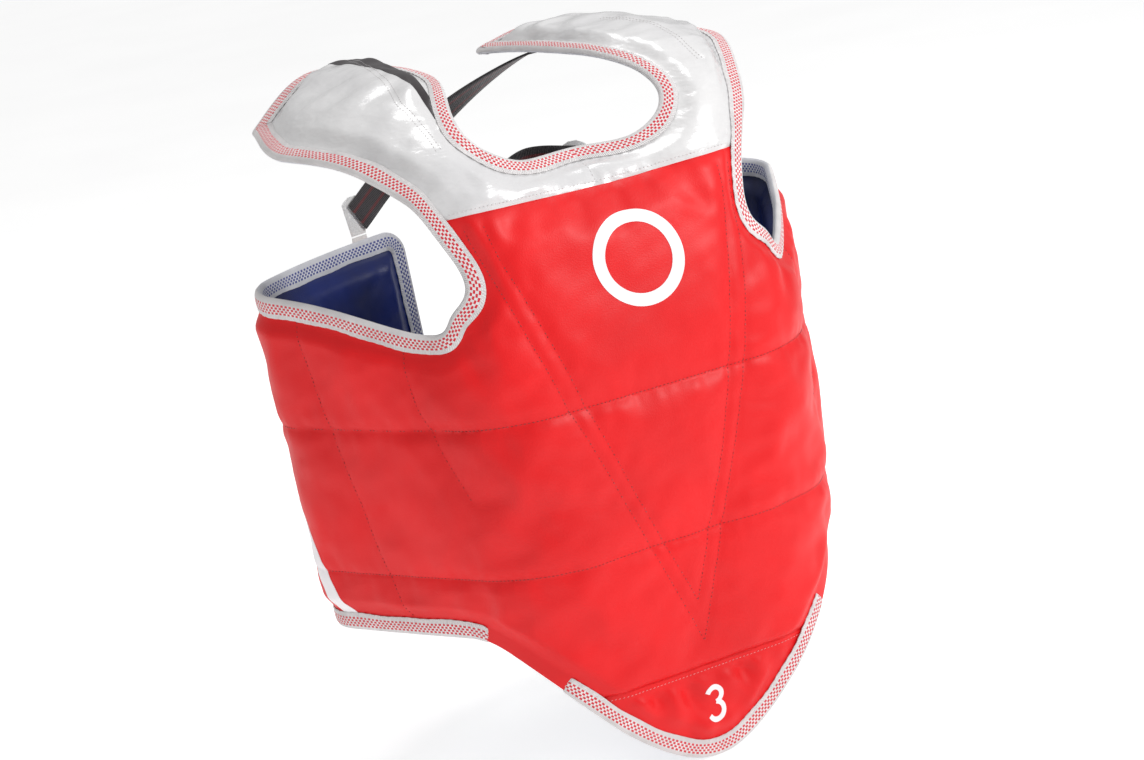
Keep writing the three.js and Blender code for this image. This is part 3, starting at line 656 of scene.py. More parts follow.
def print_ink(name, tone):
    """Printed film, slightly cloudy, dull where it is crackled."""
    s = Shader(name)
    crackle = s.span(s.noise(420, 5, 0.65), 0.62, 0.8)
    cloudy = s.mottle(30, tone, 0.9)
    return s.finish(colour=cloudy, roughness=s.math("ADD", 0.4, s.math("MULTIPLY", crackle, 0.2)),
                    normal=s.bump(s.cells(900), 0.00008))


red_vinyl = vinyl("red_vinyl", colour(208, 3, 9), colour(222, 5, 12),
                  roughness=0.5, coat=0.03, grain=0.00014)
navy_vinyl = vinyl("navy_vinyl", colour(4, 14, 56), colour(8, 32, 104),
                   roughness=0.42, coat=0.03, grain=0.00016)
white_vinyl = vinyl("white_vinyl", colour(203, 202, 203), colour(214, 213, 213),
                    roughness=0.2, coat=0.6, grain=0.00006, waves=0.0045)
red_tape = check_tape("red_check_tape", colour(208, 30, 48), colour(236, 232, 232))
blue_tape = check_tape("blue_check_tape", colour(48, 62, 140), colour(228, 228, 234))
elastic = elastic_webbing()
hook_tape = hook_and_loop("hook_tape", colour(252, 252, 250))
loop_tape = hook_and_loop("loop_tape", colour(34, 30, 32), 1100)
white_thread = thread("white_thread", colour(232, 228, 228))
red_thread = thread("red_thread", colour(128, 6, 16))
pale_thread = thread("pale_thread", colour(236, 150, 152))
navy_thread = thread("navy_thread", colour(28, 40, 92))
white_ink = print_ink("white_print", colour(238, 234, 236))
dark_ink = print_ink("dark_print", colour(34, 26, 30))

# ------------------------------------------------------------------ where pieces belong

SIDE_NAME = {-1: "right", 1: "left"}
WING_BEND = 14        # belong() takes a middle point this far each side of the fold, for a wing
SHOULDER_BEND = 17    # the same for a shoulder flap


def middle_point(p, q):
    """Place half way through the padding, in metres."""
    return Vector((pad_point(p, q, PAD / 2) * MM).tolist())


def belong(piece, zone, sign=0):
    """Makes a piece follow the torso or a named body; wing, shoulder and bottom-flap pieces only get their
    transform baked.
    """
    if zone == "torso":
        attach(piece, "torso")
    elif zone == "wing":
        level = sum(QUILT_LINES) / 2 + 3
        middle_point(sign * (FOLD - WING_BEND), level)
        middle_point(sign * (FOLD + WING_BEND), level)
        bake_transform(piece)
    elif zone == "shoulder":
        middle_point(sign * STRAP_CENTRE, SHOULDER_FOLD - SHOULDER_BEND)
        middle_point(sign * STRAP_CENTRE, SHOULDER_FOLD + SHOULDER_BEND)
        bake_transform(piece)
    elif zone == "bottom_flap":
        middle_point(0, FLAP_SEAM + 3)
        middle_point(0, FLAP_SEAM - 9)
        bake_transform(piece)
    else:
        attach(piece, zone)
    return piece


def claim(piece, slot, *nodes):
    """Hides the CAD nodes that a piece stands for; slot is not used."""
    if nodes:
        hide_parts(*nodes)
    return piece


# ------------------------------------------------------------------ panels

MIDDLE = 9          # depth where the cover's solid meets the lining's
GAP = 0.1           # each stays this far from it
CORE = 119          # columns nearer the centre than this stay straight beside the armhole
PANEL_PITCH = 2.5
CROSSWISE = 40      # cells across a shoulder flap


def front_place(p, level):
    """The torso's front: rows fan out from the hem and, above, follow the armhole's edge."""
    bottom = np.maximum(FLAP_SEAM, hem_at(p))
    fan = mix(bottom, QUILT_LINES[0], (level - FLAP_SEAM) / (QUILT_LINES[0] - FLAP_SEAM))
    squeeze = np.where(level > ARMHOLE_LOW, np.minimum(1, (arm_at(level) - CORE) / (FOLD - CORE)), 1)
    aside = np.maximum(0, np.abs(p) - CORE)
    return np.sign(p) * (np.abs(p) - aside * (1 - squeeze)), np.where(level < QUILT_LINES[0], fan, level)


def lines_between(*stops, pitch):
    """Even steps between stops, each stop kept."""
    parts = [np.linspace(a, b, max(1, round((b - a) / pitch)) + 1)[:-1] for a, b in zip(stops, stops[1:])]
    return np.concatenate(parts + [[stops[-1]]])


def mirrored(p, q, sign):
    """A half's grid, on the wearer's left (1) or right (-1)."""
    return (p, q) if sign > 0 else (-p[:, ::-1], q[:, ::-1])


def front_grid():
    columns = lines_between(0, SIDE_START, FOLD, pitch=PANEL_PITCH)
    columns = np.concatenate([-columns[:0:-1], columns])
    levels = lines_between(FLAP_SEAM, *QUILT_LINES, ARMHOLE_LOW, YOKE_LINE, pitch=PANEL_PITCH)
    p, q = front_place(*np.meshgrid(columns, levels))
    middle_column = (np.abs(columns[:-1]) + np.abs(columns[1:])) / 2
    middle_level = (levels[:-1] + levels[1:]) / 2
    mask = (middle_level[:, None] > ARMHOLE_LOW) | (middle_column[None, :] < SIDE_START)
    return p, q, mask


def side_grid(sign):
    columns = lines_between(SIDE_START, FOLD, WING_END - WING_CORNER, pitch=PANEL_PITCH)
    rounding = WING_END - WING_CORNER * (1 - np.sin(np.linspace(0, np.pi / 2, 13)))[1:]
    columns = np.concatenate([columns, rounding])
    levels = lines_between(FLAP_SEAM, *QUILT_LINES, ARMHOLE_LOW, pitch=PANEL_PITCH)
    p, level = np.meshgrid(columns, levels)
    _, q_front = front_place(p, level)
    _, q_fold = front_place(np.full_like(level, FOLD), level)
    share = (q_fold - hem_at(FOLD)) / (ARMHOLE_LOW - hem_at(FOLD))
    q_wing = mix(hem_at(p), wing_top(p), share)
    return mirrored(p, np.where(p <= FOLD, q_front, q_wing), sign)


def yoke_grid():
    """Fans out from the yoke seam to the neckline and, beside it, to the shoulder flaps."""
    low = neck_edge[neck_edge[:, 1] < YOKE_TOP]
    low = low[low[:, 0] < neck_at(YOKE_TOP)]
    neck, _ = resample(np.concatenate([low, [(neck_at(YOKE_TOP), YOKE_TOP)]]), 2.5)
    aside = np.linspace(neck_at(YOKE_TOP), arm_at(YOKE_TOP), CROSSWISE + 1)[1:]
    top = np.concatenate([neck, np.stack([aside, 0 * aside + YOKE_TOP], 1)])
    corner = YOKE_HALF_WIDTH * 0.6
    bottom = np.concatenate([np.linspace(0, corner, len(neck)),
                             np.linspace(corner, YOKE_HALF_WIDTH, CROSSWISE + 1)[1:]])
    t = np.linspace(0, 1, 22)[:, None]
    p = mix(bottom[None, :], top[None, :, 0], t)
    q = mix(YOKE_LINE, top[None, :, 1], t)
    return np.concatenate([-p[:, :0:-1], p], 1), np.concatenate([q[:, :0:-1], q], 1)


def shoulder_grid(sign):
    v = np.linspace(0, 1, CROSSWISE + 1)[None, :]
    rows = np.linspace(YOKE_TOP, SHOULDER_FOLD, 9)[:-1, None]
    p_low = mix(neck_at(rows), arm_at(rows), v)
    q_low = rows + 0 * v
    p_high, q_high = flap_place(np.linspace(0, 1, 96)[:, None], v)
    return mirrored(np.concatenate([p_low, p_high]), np.concatenate([q_low, q_high + 0 * p_high]), sign)


def bottom_flap_grid():
    half = SEAM_HALF - 2
    p, t = np.meshgrid(np.linspace(-half, half, 113), np.linspace(0, 1, 31))
    return p, mix(np.minimum(hem_at(p), FLAP_SEAM - 0.4), FLAP_SEAM, t)


# Material and slot of the cover, then of the lining.
RED_AND_NAVY = ((red_vinyl, "red_vinyl"), (navy_vinyl, "navy_vinyl"))
ALL_WHITE = ((white_vinyl, "white_vinyl"), (white_vinyl, "white_vinyl"))


def panel(name, grid, zone, sign, cloths, outer_nodes, inner_node, mask=None):
    """The padded cover and the lining of one part of the sheet."""
    p, q = grid
    (outside, outer_slot), (inside, inner_slot) = cloths
    cover = slab(name + "_cushion", p, q, outer_depth(p, q), MIDDLE - GAP, outside, mask)
    belong(claim(cover, outer_slot, *outer_nodes), zone, sign)
    lining = slab(name + "_inner_cloth", p, q, MIDDLE + GAP, inner_depth(p, q), inside, mask)
    belong(claim(lining, inner_slot, inner_node), zone, sign)


def build_panels():
    p, q, mask = front_grid()
    foams = [f"{part}_foam_{row}" for part in ("chest", "right_corner", "left_corner")
             for row in ("lower", "middle", "upper")]
    panel("front", (p, q), "torso", 0, RED_AND_NAVY, ["chest_cover", *foams], "chest_lining", mask)
    panel("yoke", yoke_grid(), "torso", 0, ALL_WHITE, ["yoke_cover", "yoke_foam"], "yoke_lining")
    for sign, side in SIDE_NAME.items():
        wing = [f"{side}_{part}" for part in ("wing_cover", "flank_foam", "back_corner_foam", "back_foam")]
        panel(side + "_side", side_grid(sign), "wing", sign, RED_AND_NAVY, wing, side + "_wing_lining")
        shoulder = [side + "_shoulder_cover", side + "_shoulder_foam"]
        panel(side + "_shoulder_flap", shoulder_grid(sign), "shoulder", sign, ALL_WHITE, shoulder,
              side + "_shoulder_lining")
    panel("lower_flap", bottom_flap_grid(), "bottom_flap", 0, RED_AND_NAVY,
          ["bottom_flap_cover", "bottom_flap_foam"], "bottom_flap_lining")


# ------------------------------------------------------------------ folded tape

LEG = 13.0                    # how far the folded tape reaches in from the edge
TAPE_OUT = RIM_SINK           # depth of the cloth under the outer leg
TAPE_IN = PAD - RIM_LIFT      # depth of the cloth under the inner leg
TAPE_MIDDLE = (TAPE_OUT + TAPE_IN) / 2
EDGE_POINT = 6                # the section's point on the fold; the outer leg comes before it
INNER_LEG_END = 12            # the section's last point on the inner leg; the inside follows
TUCK = {"from": 127, "over": 5, "to": 194, "back": 8, "below": 140}   # stretch of hem with no outer leg


def tape_section():
    """Points round the folded tape: reach inwards from the edge and depth; outside first."""
    outside = [(LEG, TAPE_OUT - 1.0), (LEG * 0.72, TAPE_OUT - 1.25), (LEG * 0.4, TAPE_OUT - 1.35),
               (1.5, TAPE_OUT - 1.1), (-1.2, TAPE_OUT), (-2.3, TAPE_OUT + 1.5)]
    edge = [(-2.6, TAPE_MIDDLE)]
    mirror = [(reach, 2 * TAPE_MIDDLE - depth) for reach, depth in outside[::-1]]
    within = [(LEG, TAPE_IN + 0.3), (1.5, TAPE_IN + 0.1), (-1.0, TAPE_IN - 2.0)]
    within += [(reach, 2 * TAPE_MIDDLE - depth) for reach, depth in within[::-1]]
    return np.array(outside + edge + mirror + within)


def tape_rings(path, side):
    """Rings of the folded tape along a pattern path, with the sheet on its left (1) or right (-1)."""
    path, s = resample(path, 2.0)
    run = np.gradient(path, axis=0)
    for _ in range(3):
        run[1:-1] = (run[:-2] + run[1:-1] + run[2:]) / 3
    run = unit(run)
    inward = side * np.stack([-run[:, 1], run[:, 0]], 1)
    reach, depth = tape_section().T
    around = np.arange(len(depth))
    leg_share = np.clip(reach / LEG, 0, 1)[None, :]
    # The legs' edges wander a little and the cloth puckers between stitches.
    wobble = 0.5 * np.sin(s / 19) + 0.35 * np.sin(s / 7.3 + 2)
    far = reach[None, :] + wobble[:, None] * leg_share
    outer_side = np.where(depth < TAPE_MIDDLE, -1, 1)
    pucker = 0.3 * np.sin(2 * np.pi * s / 8.5 + 1.7 * np.sin(s / 29))
    deep = depth[None, :] + outer_side[None, :] * pucker[:, None] * leg_share
    # Beside the bottom flap the outer leg is folded in, so that it can't be seen.
    aside = np.abs(path[:, 0])
    tucked = smooth((TUCK["to"] - aside) / TUCK["back"]) * smooth((aside - TUCK["from"]) / TUCK["over"])
    tucked = tucked * (path[:, 1] < TUCK["below"])
    outside = (depth < TAPE_MIDDLE) | ((around >= EDGE_POINT) & (around < EDGE_POINT + 3))
    tucked = tucked[:, None] * outside[None, :]
    deep = deep + 3.4 * tucked * (depth < TAPE_OUT + 2.5)
    far = mix(far, np.maximum(far * 0.5, 0.8), tucked)
    p = path[:, None, 0] + inward[:, None, 0] * far
    q = path[:, None, 1] + inward[:, None, 1] * far
    across = np.where(around > INNER_LEG_END, LEG + 1, np.abs(reach + 3)) * -outer_side
    uv = np.stack(np.broadcast_arrays(s[:, None], across[None, :]), -1)
    return path, pad_point(p, q, deep), uv


def tape_piece(name, rings, uv, zone, sign, *nodes):
    """One piece of tape, with the blue pattern on its inner leg."""
    piece = fix_normals(tube(name, rings, red_tape, uv))
    piece.data.materials.append(blue_tape)
    around = rings.shape[1]
    slots = np.zeros(len(piece.data.polygons), int)
    strip = np.arange((len(rings) - 1) * around) % around
    slots[:len(strip)] = (strip >= EDGE_POINT) & (strip < INNER_LEG_END + 3)
    piece.data.polygons.foreach_set("material_index", slots)
    return belong(claim(piece, "tape", *nodes), zone, sign)


def mirror_path(path, sign):
    return np.asarray(path, float) * (sign, 1)


FLAP_END = 117    # p where the hem is clear of the bottom flap's bend
NARROWEST = 433   # level where the armhole comes nearest to the centre


def shared(node, sign):
    """A node that both halves stand for: the left half takes it."""
    return [node] if sign > 0 else []


def build_tapes():
    """One run of tape on each half, cut into pieces where it passes from one body to another."""
    hem_p = np.concatenate([np.linspace(0, FOLD, 160)[:-1], columns_wing])
    hem = np.stack([hem_p, hem_at(hem_p)], 1)
    top = wing_line[::-1]
    flap_run = [flap_line(ONE, 0 * ONE + 1), flap_back[-2:0:-1], flap_line(ONE[::-1], 0 * ONE)]
    whole = np.concatenate([hem, top[:-1], arm_low, *flap_run, neck_low[::-1]])
    for sign, side in SIDE_NAME.items():
        path, rings, uv = tape_rings(mirror_path(whole, sign), sign)
        a, q = np.abs(path[:, 0]), path[:, 1]
        step = np.arange(len(path))
        flap_end = step[a > FLAP_END][0]
        end_of_wing = step[(a < FOLD) & (q > QUILT_LINES[1])][0]
        narrow = step[(step > end_of_wing) & (q > NARROWEST)][0]
        shoulder = step[(step > narrow) & (q > YOKE_TOP)][0]
        yoke = step[(step > shoulder) & (q > YOKE_TOP)][-1]
        parts = [("lower_flap_tape", 0, flap_end, "bottom_flap", shared("bottom_flap_binding", sign)),
                 ("wing_tape", flap_end, narrow, "wing", [f"{side}_wing_binding", f"{side}_hem_binding"]),
                 ("armhole_tape", narrow, shoulder, "torso", [f"{side}_armhole_binding"]),
                 ("shoulder_tape", shoulder, yoke, "shoulder", [f"{side}_shoulder_binding"]),
                 ("neckline_tape", yoke, len(path) - 1, "torso", shared("neckline_binding", sign))]
        for name, first, last, zone, nodes in parts:
            tape_piece(f"{side}_{name}", rings[first:last + 1], uv[first:last + 1], zone, sign, *nodes)


# ------------------------------------------------------------------ stitching and prints

STITCH = {"pitch": 3.4, "length": 2.3, "half": 0.42, "lean": 0.4, "lift": 0.15}


def stitches(name, paths, zone, sign, material, slot, outer=True):
    """Rows of thread bumps, each a small double pyramid, on the cover or on the lining."""
    places, runs = [], []
    for path in paths:
        points, _ = resample(path, STITCH["pitch"])
        centre = (points[1:] + points[:-1]) / 2
        places.append(centre)
        runs.append(unit(points[1:] - points[:-1]))
    place, run = np.concatenate(places), np.concatenate(runs)
    p, q = place.T
    depth = outer_depth(p, q) - STITCH["lift"] if outer else inner_depth(p, q) + STITCH["lift"]
    middle = pad_point(p, q, depth)
    ahead = pad_point(p + run[:, 0], q + run[:, 1], depth)
    tangent = unit(ahead - middle)
    normal = outward(p, q)
    sideways = np.cross(normal, tangent)
    reach = tangent * STITCH["length"] / 2
    waist = sideways * STITCH["half"] + tangent * STITCH["lean"]
    rise = normal * STITCH["half"]
    corners = np.stack([middle + reach, middle - reach, middle + waist, middle - waist,
                        middle + rise, middle - rise], 1)
    shape = np.array([(0, 2, 4), (2, 1, 4), (1, 3, 4), (3, 0, 4),
                      (2, 0, 5), (1, 2, 5), (3, 1, 5), (0, 3, 5)])
    faces = (np.arange(len(middle))[:, None, None] * 6 + shape).reshape(-1, 3)
    piece = new_object(name, corners.reshape(-1, 3), faces, material)
    return belong(claim(piece, slot), zone, sign)


def across_body(q, start, end):
    return [(start, q), (end, q)]


def beside(path, offset):
    """A path moved sideways on the pattern."""
    path, _ = resample(path, 4)
    run = unit(np.gradient(path, axis=0))
    return path + offset * np.stack([-run[:, 1], run[:, 0]], 1)


BESIDE_SEAM = 3.5    # distance of a row of stitches from the seam that it holds
DOUBLE_ROW = 2       # half the distance between the shoulder flaps' two rows


def build_stitches():
    front = [across_body(q, -SIDE_START, SIDE_START) for q in QUILT_LINES]
    for sign in SIDE_NAME:
        front += [mirror_path(vee, sign) for vee in (V_OUTER, V_INNER)]
    stitches("front_stitches", front, "torso", 0, red_thread, "red_vinyl")
    seam = [across_body(FLAP_SEAM - BESIDE_SEAM, -104, 104)]
    stitches("lower_flap_seam_stitches", seam, "bottom_flap", 0, pale_thread, "red_vinyl")
    yoke = [across_body(YOKE_LINE + BESIDE_SEAM, -128, 128),
            [(CENTRE_SEAM, YOKE_LINE + 4), (CENTRE_SEAM, 500)]]
    stitches("yoke_seam_stitches", yoke, "torso", 0, white_thread, "white_vinyl")
    lining = [across_body(q, -SIDE_START, SIDE_START) for q in QUILT_LINES]
    stitches("front_lining_stitches", lining, "torso", 0, navy_thread, "navy_vinyl", outer=False)
    for sign, side in SIDE_NAME.items():
        rows = [across_body(q, sign * SIDE_START, sign * (WING_END - LEG - 1)) for q in QUILT_LINES]
        stitches(side + "_side_lining_stitches", rows, "wing", sign, navy_thread, "navy_vinyl", outer=False)
        rows += [mirror_path(line, sign) for line in (DIAGONAL_LONG, DIAGONAL_SHORT)]
        stitches(side + "_side_stitches", rows, "wing", sign, red_thread, "red_vinyl")
        line = [(p, q) for p, q in (NEAR_SHOULDER if sign < 0 else FAR_SHOULDER) if q > YOKE_TOP]
        rows = [mirror_path(beside(line, offset), sign) for offset in (-DOUBLE_ROW, DOUBLE_ROW)]
        stitches(side + "_shoulder_stitches", rows, "shoulder", sign, white_thread, "white_vinyl")


BAND_PITCH = 2.0
STROKE_PITCH = 1.5


def band_grid(band, sign):
    """Grid of pattern places between a band's two edges."""
    first, second = (mirror_path(edge, sign) for edge in band)
    count = max(3, int(distances(first)[-1] / BAND_PITCH))
    a, b = even_points(first, count)[0], even_points(second, count)[0]
    wide = max(3, int(np.linalg.norm(a - b, axis=1).max() / BAND_PITCH))
    t = np.linspace(0, 1, wide)[:, None]
    return mix(a[None, :, 0], b[None, :, 0], t), mix(a[None, :, 1], b[None, :, 1], t)


def print_patch(name, grid, zone, sign, ink, outer=True):
    """Film of ink on the cover or on the lining: a little proud of it, and sunk in a little."""
    p, q = grid
    top, bottom = (-0.35, 0.3) if outer else (-0.3, 0.35)
    depth = outer_depth(p, q) if outer else inner_depth(p, q)
    piece = fix_normals(slab(name, p, q, depth + top, depth + bottom, ink))
    return belong(claim(piece, "white_vinyl"), zone, sign)


def stroke(path, width, closed=False):
    """Grid of pattern places along a path with a constant width."""
    path, _ = resample(path, STROKE_PITCH)
    run = np.gradient(path, axis=0)
    if closed:
        run[0] = run[-1] = path[1] - path[-2]
    run = unit(run)
    normal = np.stack([-run[:, 1], run[:, 0]], 1)
    offsets = np.linspace(-width / 2, width / 2, max(3, int(width / STROKE_PITCH)))
    grid = path[None] + normal[None] * offsets[:, None, None]
    return grid[..., 0], grid[..., 1]


def arc(centre, radius, start, end, count=48):
    angle = np.radians(np.linspace(start, end, count))
    return np.asarray(centre) + radius * np.stack([np.cos(angle), np.sin(angle)], 1)


RING = {"centre": (10, 408), "radius": 33, "width": 10}
NUMERAL = {"upper": ((0, 51.5), 6.6, 160, -80), "lower": ((0, 38), 7.4, 80, -160)}   # two arcs
NUMERAL_WIDTH = 4.2
# Both edges of each band, as drawn for the wearer's left half.
FLANK_BAND = ([(366, 244), (342, 188), (331, 158), (316, 142)],
              [(374, 222), (354, 178), (343, 152), (329, 140)])
SHOULDER_BAND = ([(66, 756), (82, 690), (99, 625), (110, 568)],
                 [(100, 756), (105, 690), (111, 625), (115, 566)])
INNER_BAND = ([(100, 600), (91, 650), (74, 720)],
              [(112, 600), (104, 650), (88, 720)])


def build_prints():
    ring = stroke(arc(RING["centre"], RING["radius"], 0, 360, 120), RING["width"], closed=True)
    print_patch("chest_ring_print", ring, "torso", 0, white_ink)
    for part, curve in NUMERAL.items():
        print_patch("size_numeral_" + part, stroke(arc(*curve), NUMERAL_WIDTH), "bottom_flap", 0, white_ink)
    for sign, side in SIDE_NAME.items():
        print_patch(side + "_flank_band_print", band_grid(FLANK_BAND, sign), "wing", sign, white_ink)
    print_patch("right_shoulder_band_print", band_grid(SHOULDER_BAND, -1), "shoulder", -1, dark_ink)
    print_patch("left_shoulder_inner_band_print", band_grid(INNER_BAND, 1), "shoulder", 1, dark_ink,
                outer=False)


# ------------------------------------------------------------------ straps, tabs and the waist strap

UP = np.array([0, 0, 1.0])
# A hook tab: its place, how far it goes down the wing and up from it, and its width at the hinge.
TAB = {"p": 528, "hinge_level": 418, "depth": -3.4, "width": 26, "waist": 0.62, "cloth": 1.2,
       "drop": 34, "hinge": 5, "rise": 34, "rounding": 5}
# A back strap: where it is sewn to its flap and how it leaves the flap and meets the tab.
STRAP = {"sewn": (0.84, 0.4), "width": 28, "cloth": 1.8, "stand": 2.5, "leave": 30, "rise": 16,
         "grip": 40, "bow": 11, "steps": 140}
HANG = {"right": {"slope": 0.15, "sag": 50}, "left": {"slope": 0.6, "sag": 0}}
CUT_GAP = 0.6    # half the gap between the sewn part of a tab and the part that peels


def ribbon(name, points, across, width, cloth, material, taper=1.0):
    """A flat strap with rounded edges along points; across holds the width's direction at each."""
    points = np.asarray(points, float)
    run = unit(np.gradient(points, axis=0))
    across = unit(across - (across * run).sum(-1, keepdims=True) * run)
    face = np.cross(across, run)
    half = width / 2 * taper * np.ones(len(points))
    share = np.array([-1, -0.97, -0.6, -0.22, 0.22, 0.6, 0.97, 1])
    thick = np.array([0.25, 0.5, 0.525, 0.5, 0.5, 0.525, 0.5, 0.25]) * cloth
    wide = share * half[:, None]
    row = points[:, None] + across[:, None] * wide[..., None]
    rise = face[:, None] * thick[None, :, None]
    rings = np.concatenate([row + rise, (row - rise)[:, ::-1]], 1)
    wide = np.concatenate([wide, wide[:, ::-1]], 1)
    uv = np.stack([np.broadcast_to(distances(points)[:, None], wide.shape), wide], -1)
    return fix_normals(tube(name, rings, material, uv, 60))


def centripetal(points, count):
    """Centripetal Catmull-Rom curve through points, evenly spaced along its length."""
    ends = [2 * points[0] - points[1], *points, 2 * points[-1] - points[-2]]
    samples = []
    for i in range(len(points) - 1):
        a, b, c, d = ends[i:i + 4]
        gaps = [math.sqrt(np.linalg.norm(v)) for v in (b - a, c - b, d - c)]
        t1 = (b - a) / gaps[0] - (c - a) / (gaps[0] + gaps[1]) + (c - b) / gaps[1]
        t2 = (c - b) / gaps[1] - (d - b) / (gaps[1] + gaps[2]) + (d - c) / gaps[2]
        w = np.linspace(0, 1, 60, endpoint=i == len(points) - 2)[:, None]
        samples.append(hermite(b, c, t1 * gaps[1], t2 * gaps[1], w))
    return even_points(np.concatenate(samples), count)[0]


def tab_frame(sign):
    """Where a wing's hook tab hinges, and the way that its face looks."""
    p, q = sign * TAB["p"], TAB["hinge_level"] - TAB["drop"]
    face = outward(p, q) * (1, 1, 0)
    top = pad_point(p, q, TAB["depth"]) + UP * (TAB["drop"] + TAB["hinge"])
    return top, unit(face)


def build_tabs(sign, side):
    top, face = tab_frame(sign)
    across = np.cross(face, UP)
    for name, body, low, high in (("tab_base", "wing", -TAB["drop"] - TAB["hinge"], -CUT_GAP),
                                  ("tab", "tab", CUT_GAP, TAB["rise"])):
        rise = np.linspace(low, high, 40)
        taper = np.linspace(1, TAB["waist"], 40)
        if name == "tab":
            taper = taper[::-1] * np.sqrt(np.clip((high - rise) / TAB["rounding"], 0.1, 1))
        piece = ribbon(f"{side}_hook_{name}", top + UP * rise[:, None], np.tile(across, (40, 1)),
                       TAB["width"], TAB["cloth"], hook_tape, taper)
        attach(claim(piece, "hook_tape", f"{side}_{name}"), f"{side}_{body}")


def build_back_strap(sign, side):
    """From inside a shoulder flap's end, across the back, to the other wing's tab."""
    p, q = flap_place(*STRAP["sewn"])
    p = sign * p
    inner = PAD - RIM_LIFT * max(0, 1 - float(rim.distance(p, q)) / (RIM_FLAT + RIM_RISE))
    start = pad_point(p, q, inner + STRAP["stand"] + STRAP["cloth"] / 2)
    corner_p, corner_q = flap_place(1.0, 0.0)
    leaving = pad_point(sign * corner_p, corner_q, PAD + STRAP["stand"]) - start
    left = start + unit(leaving) * STRAP["leave"]
    top, face = tab_frame(-sign)
    end = top - face * 3 + UP * STRAP["rise"]
    grip = end + unit(np.cross(face, UP)) * sign * STRAP["grip"] + UP * STRAP["grip"] * HANG[side]["slope"]
    bow = unit(np.array([0, 1, 1.0])) * STRAP["bow"] * sign   # keeps the crossing straps apart
    middle = (left + grip) / 2 + bow - UP * HANG[side]["sag"]
    line = centripetal([start, left, middle, grip, end], STRAP["steps"])
    run = unit(np.gradient(line, axis=0))
    first = unit(np.cross(run[0], outward(p, q)))
    last = unit(np.cross(run[-1], face))
    across = mix(first, last, smooth(np.linspace(0, 1, STRAP["steps"]))[:, None])
    piece = ribbon(side + "_elastic_back_strap", line, across, STRAP["width"], STRAP["cloth"], elastic)
    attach(claim(piece, "elastic", side + "_back_strap"), side + "_strap")


WAIST = {"level": 205, "width": 38, "depth": -4.1, "cloth": 1.6, "lead": 48, "sewn": 540, "end": 498}


def build_waist():
    """The strap, sewn to the left wing, bridges the back and holds on the right wing's patch."""
    def at(p, depth=WAIST["depth"]):
        return pad_point(np.asarray(p, float), WAIST["level"], depth)

    def lead(p):
        return at(p) + unit(at(p) - at(p * 0.99)) * WAIST["lead"]

    def band(name, points, cloth, material, slot, node, body):
        across = np.tile(UP, (len(points), 1))
        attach(claim(ribbon(name, points, across, WAIST["width"], cloth, material), slot, node), body)

    band("waist_loop_tape", at(-np.linspace(492, 540, 30), -1.0), 0.8, loop_tape,
         "elastic", "waist_loop_patch", "right_wing")
    band("waist_hook_tape", at(-np.linspace(WAIST["end"], 527, 20), -2.3), 1.0, hook_tape,
         "hook_tape", "waist_hook_patch", "waist_strap")
    w = np.linspace(0, 1, 40)[1:-1, None]
    a, b, c, d = at(WING_END), lead(WING_END), lead(-WING_END), at(-WING_END)
    bridge = a * (1 - w) ** 3 + 3 * b * w * (1 - w) ** 2 + 3 * c * w ** 2 * (1 - w) + d * w ** 3
    line = np.concatenate([at(np.linspace(WAIST["sewn"], WING_END, 12)), bridge,
                           at(-np.linspace(WING_END, WAIST["end"], 30))])
    band("elastic_waist_strap", even_points(line, 120)[0], WAIST["cloth"], elastic,
         "elastic", "waist_strap", "waist_strap")


# ------------------------------------------------------------------ cloth simulation of the padding

CLOTH_PITCH = 7       # size of the simulated cells
CLOTH_FRAMES = 20
CLOTH_SINK = 1.5      # the simulation starts this far inside the CAD's skins
LEAST_SWELL = -2
MOST_SWELL = 4.5
LATTICE = 4           # pitch of the lattice that holds the result


def red_band_grid():
    """Coarse grid over the red band, from wing end to wing end."""
    p = np.arange(-WING_END + 6, WING_END - 5, CLOTH_PITCH)
    a = np.abs(p)
    beside = arm_edge[arm_edge[:, 1] <= NARROWEST][::-1]
    below_arm = np.where(a < FOLD, np.interp(a, beside[:, 0], beside[:, 1]), wing_top(a))
    top = np.where(a < beside[0, 0], YOKE_LINE, below_arm)
    bottom = np.where(a < 108, np.maximum(FLAP_SEAM, hem_at(a)), hem_at(a))
    t = np.linspace(0, 1, 50)[:, None]
    return p + 0 * t, mix(bottom, top, t)


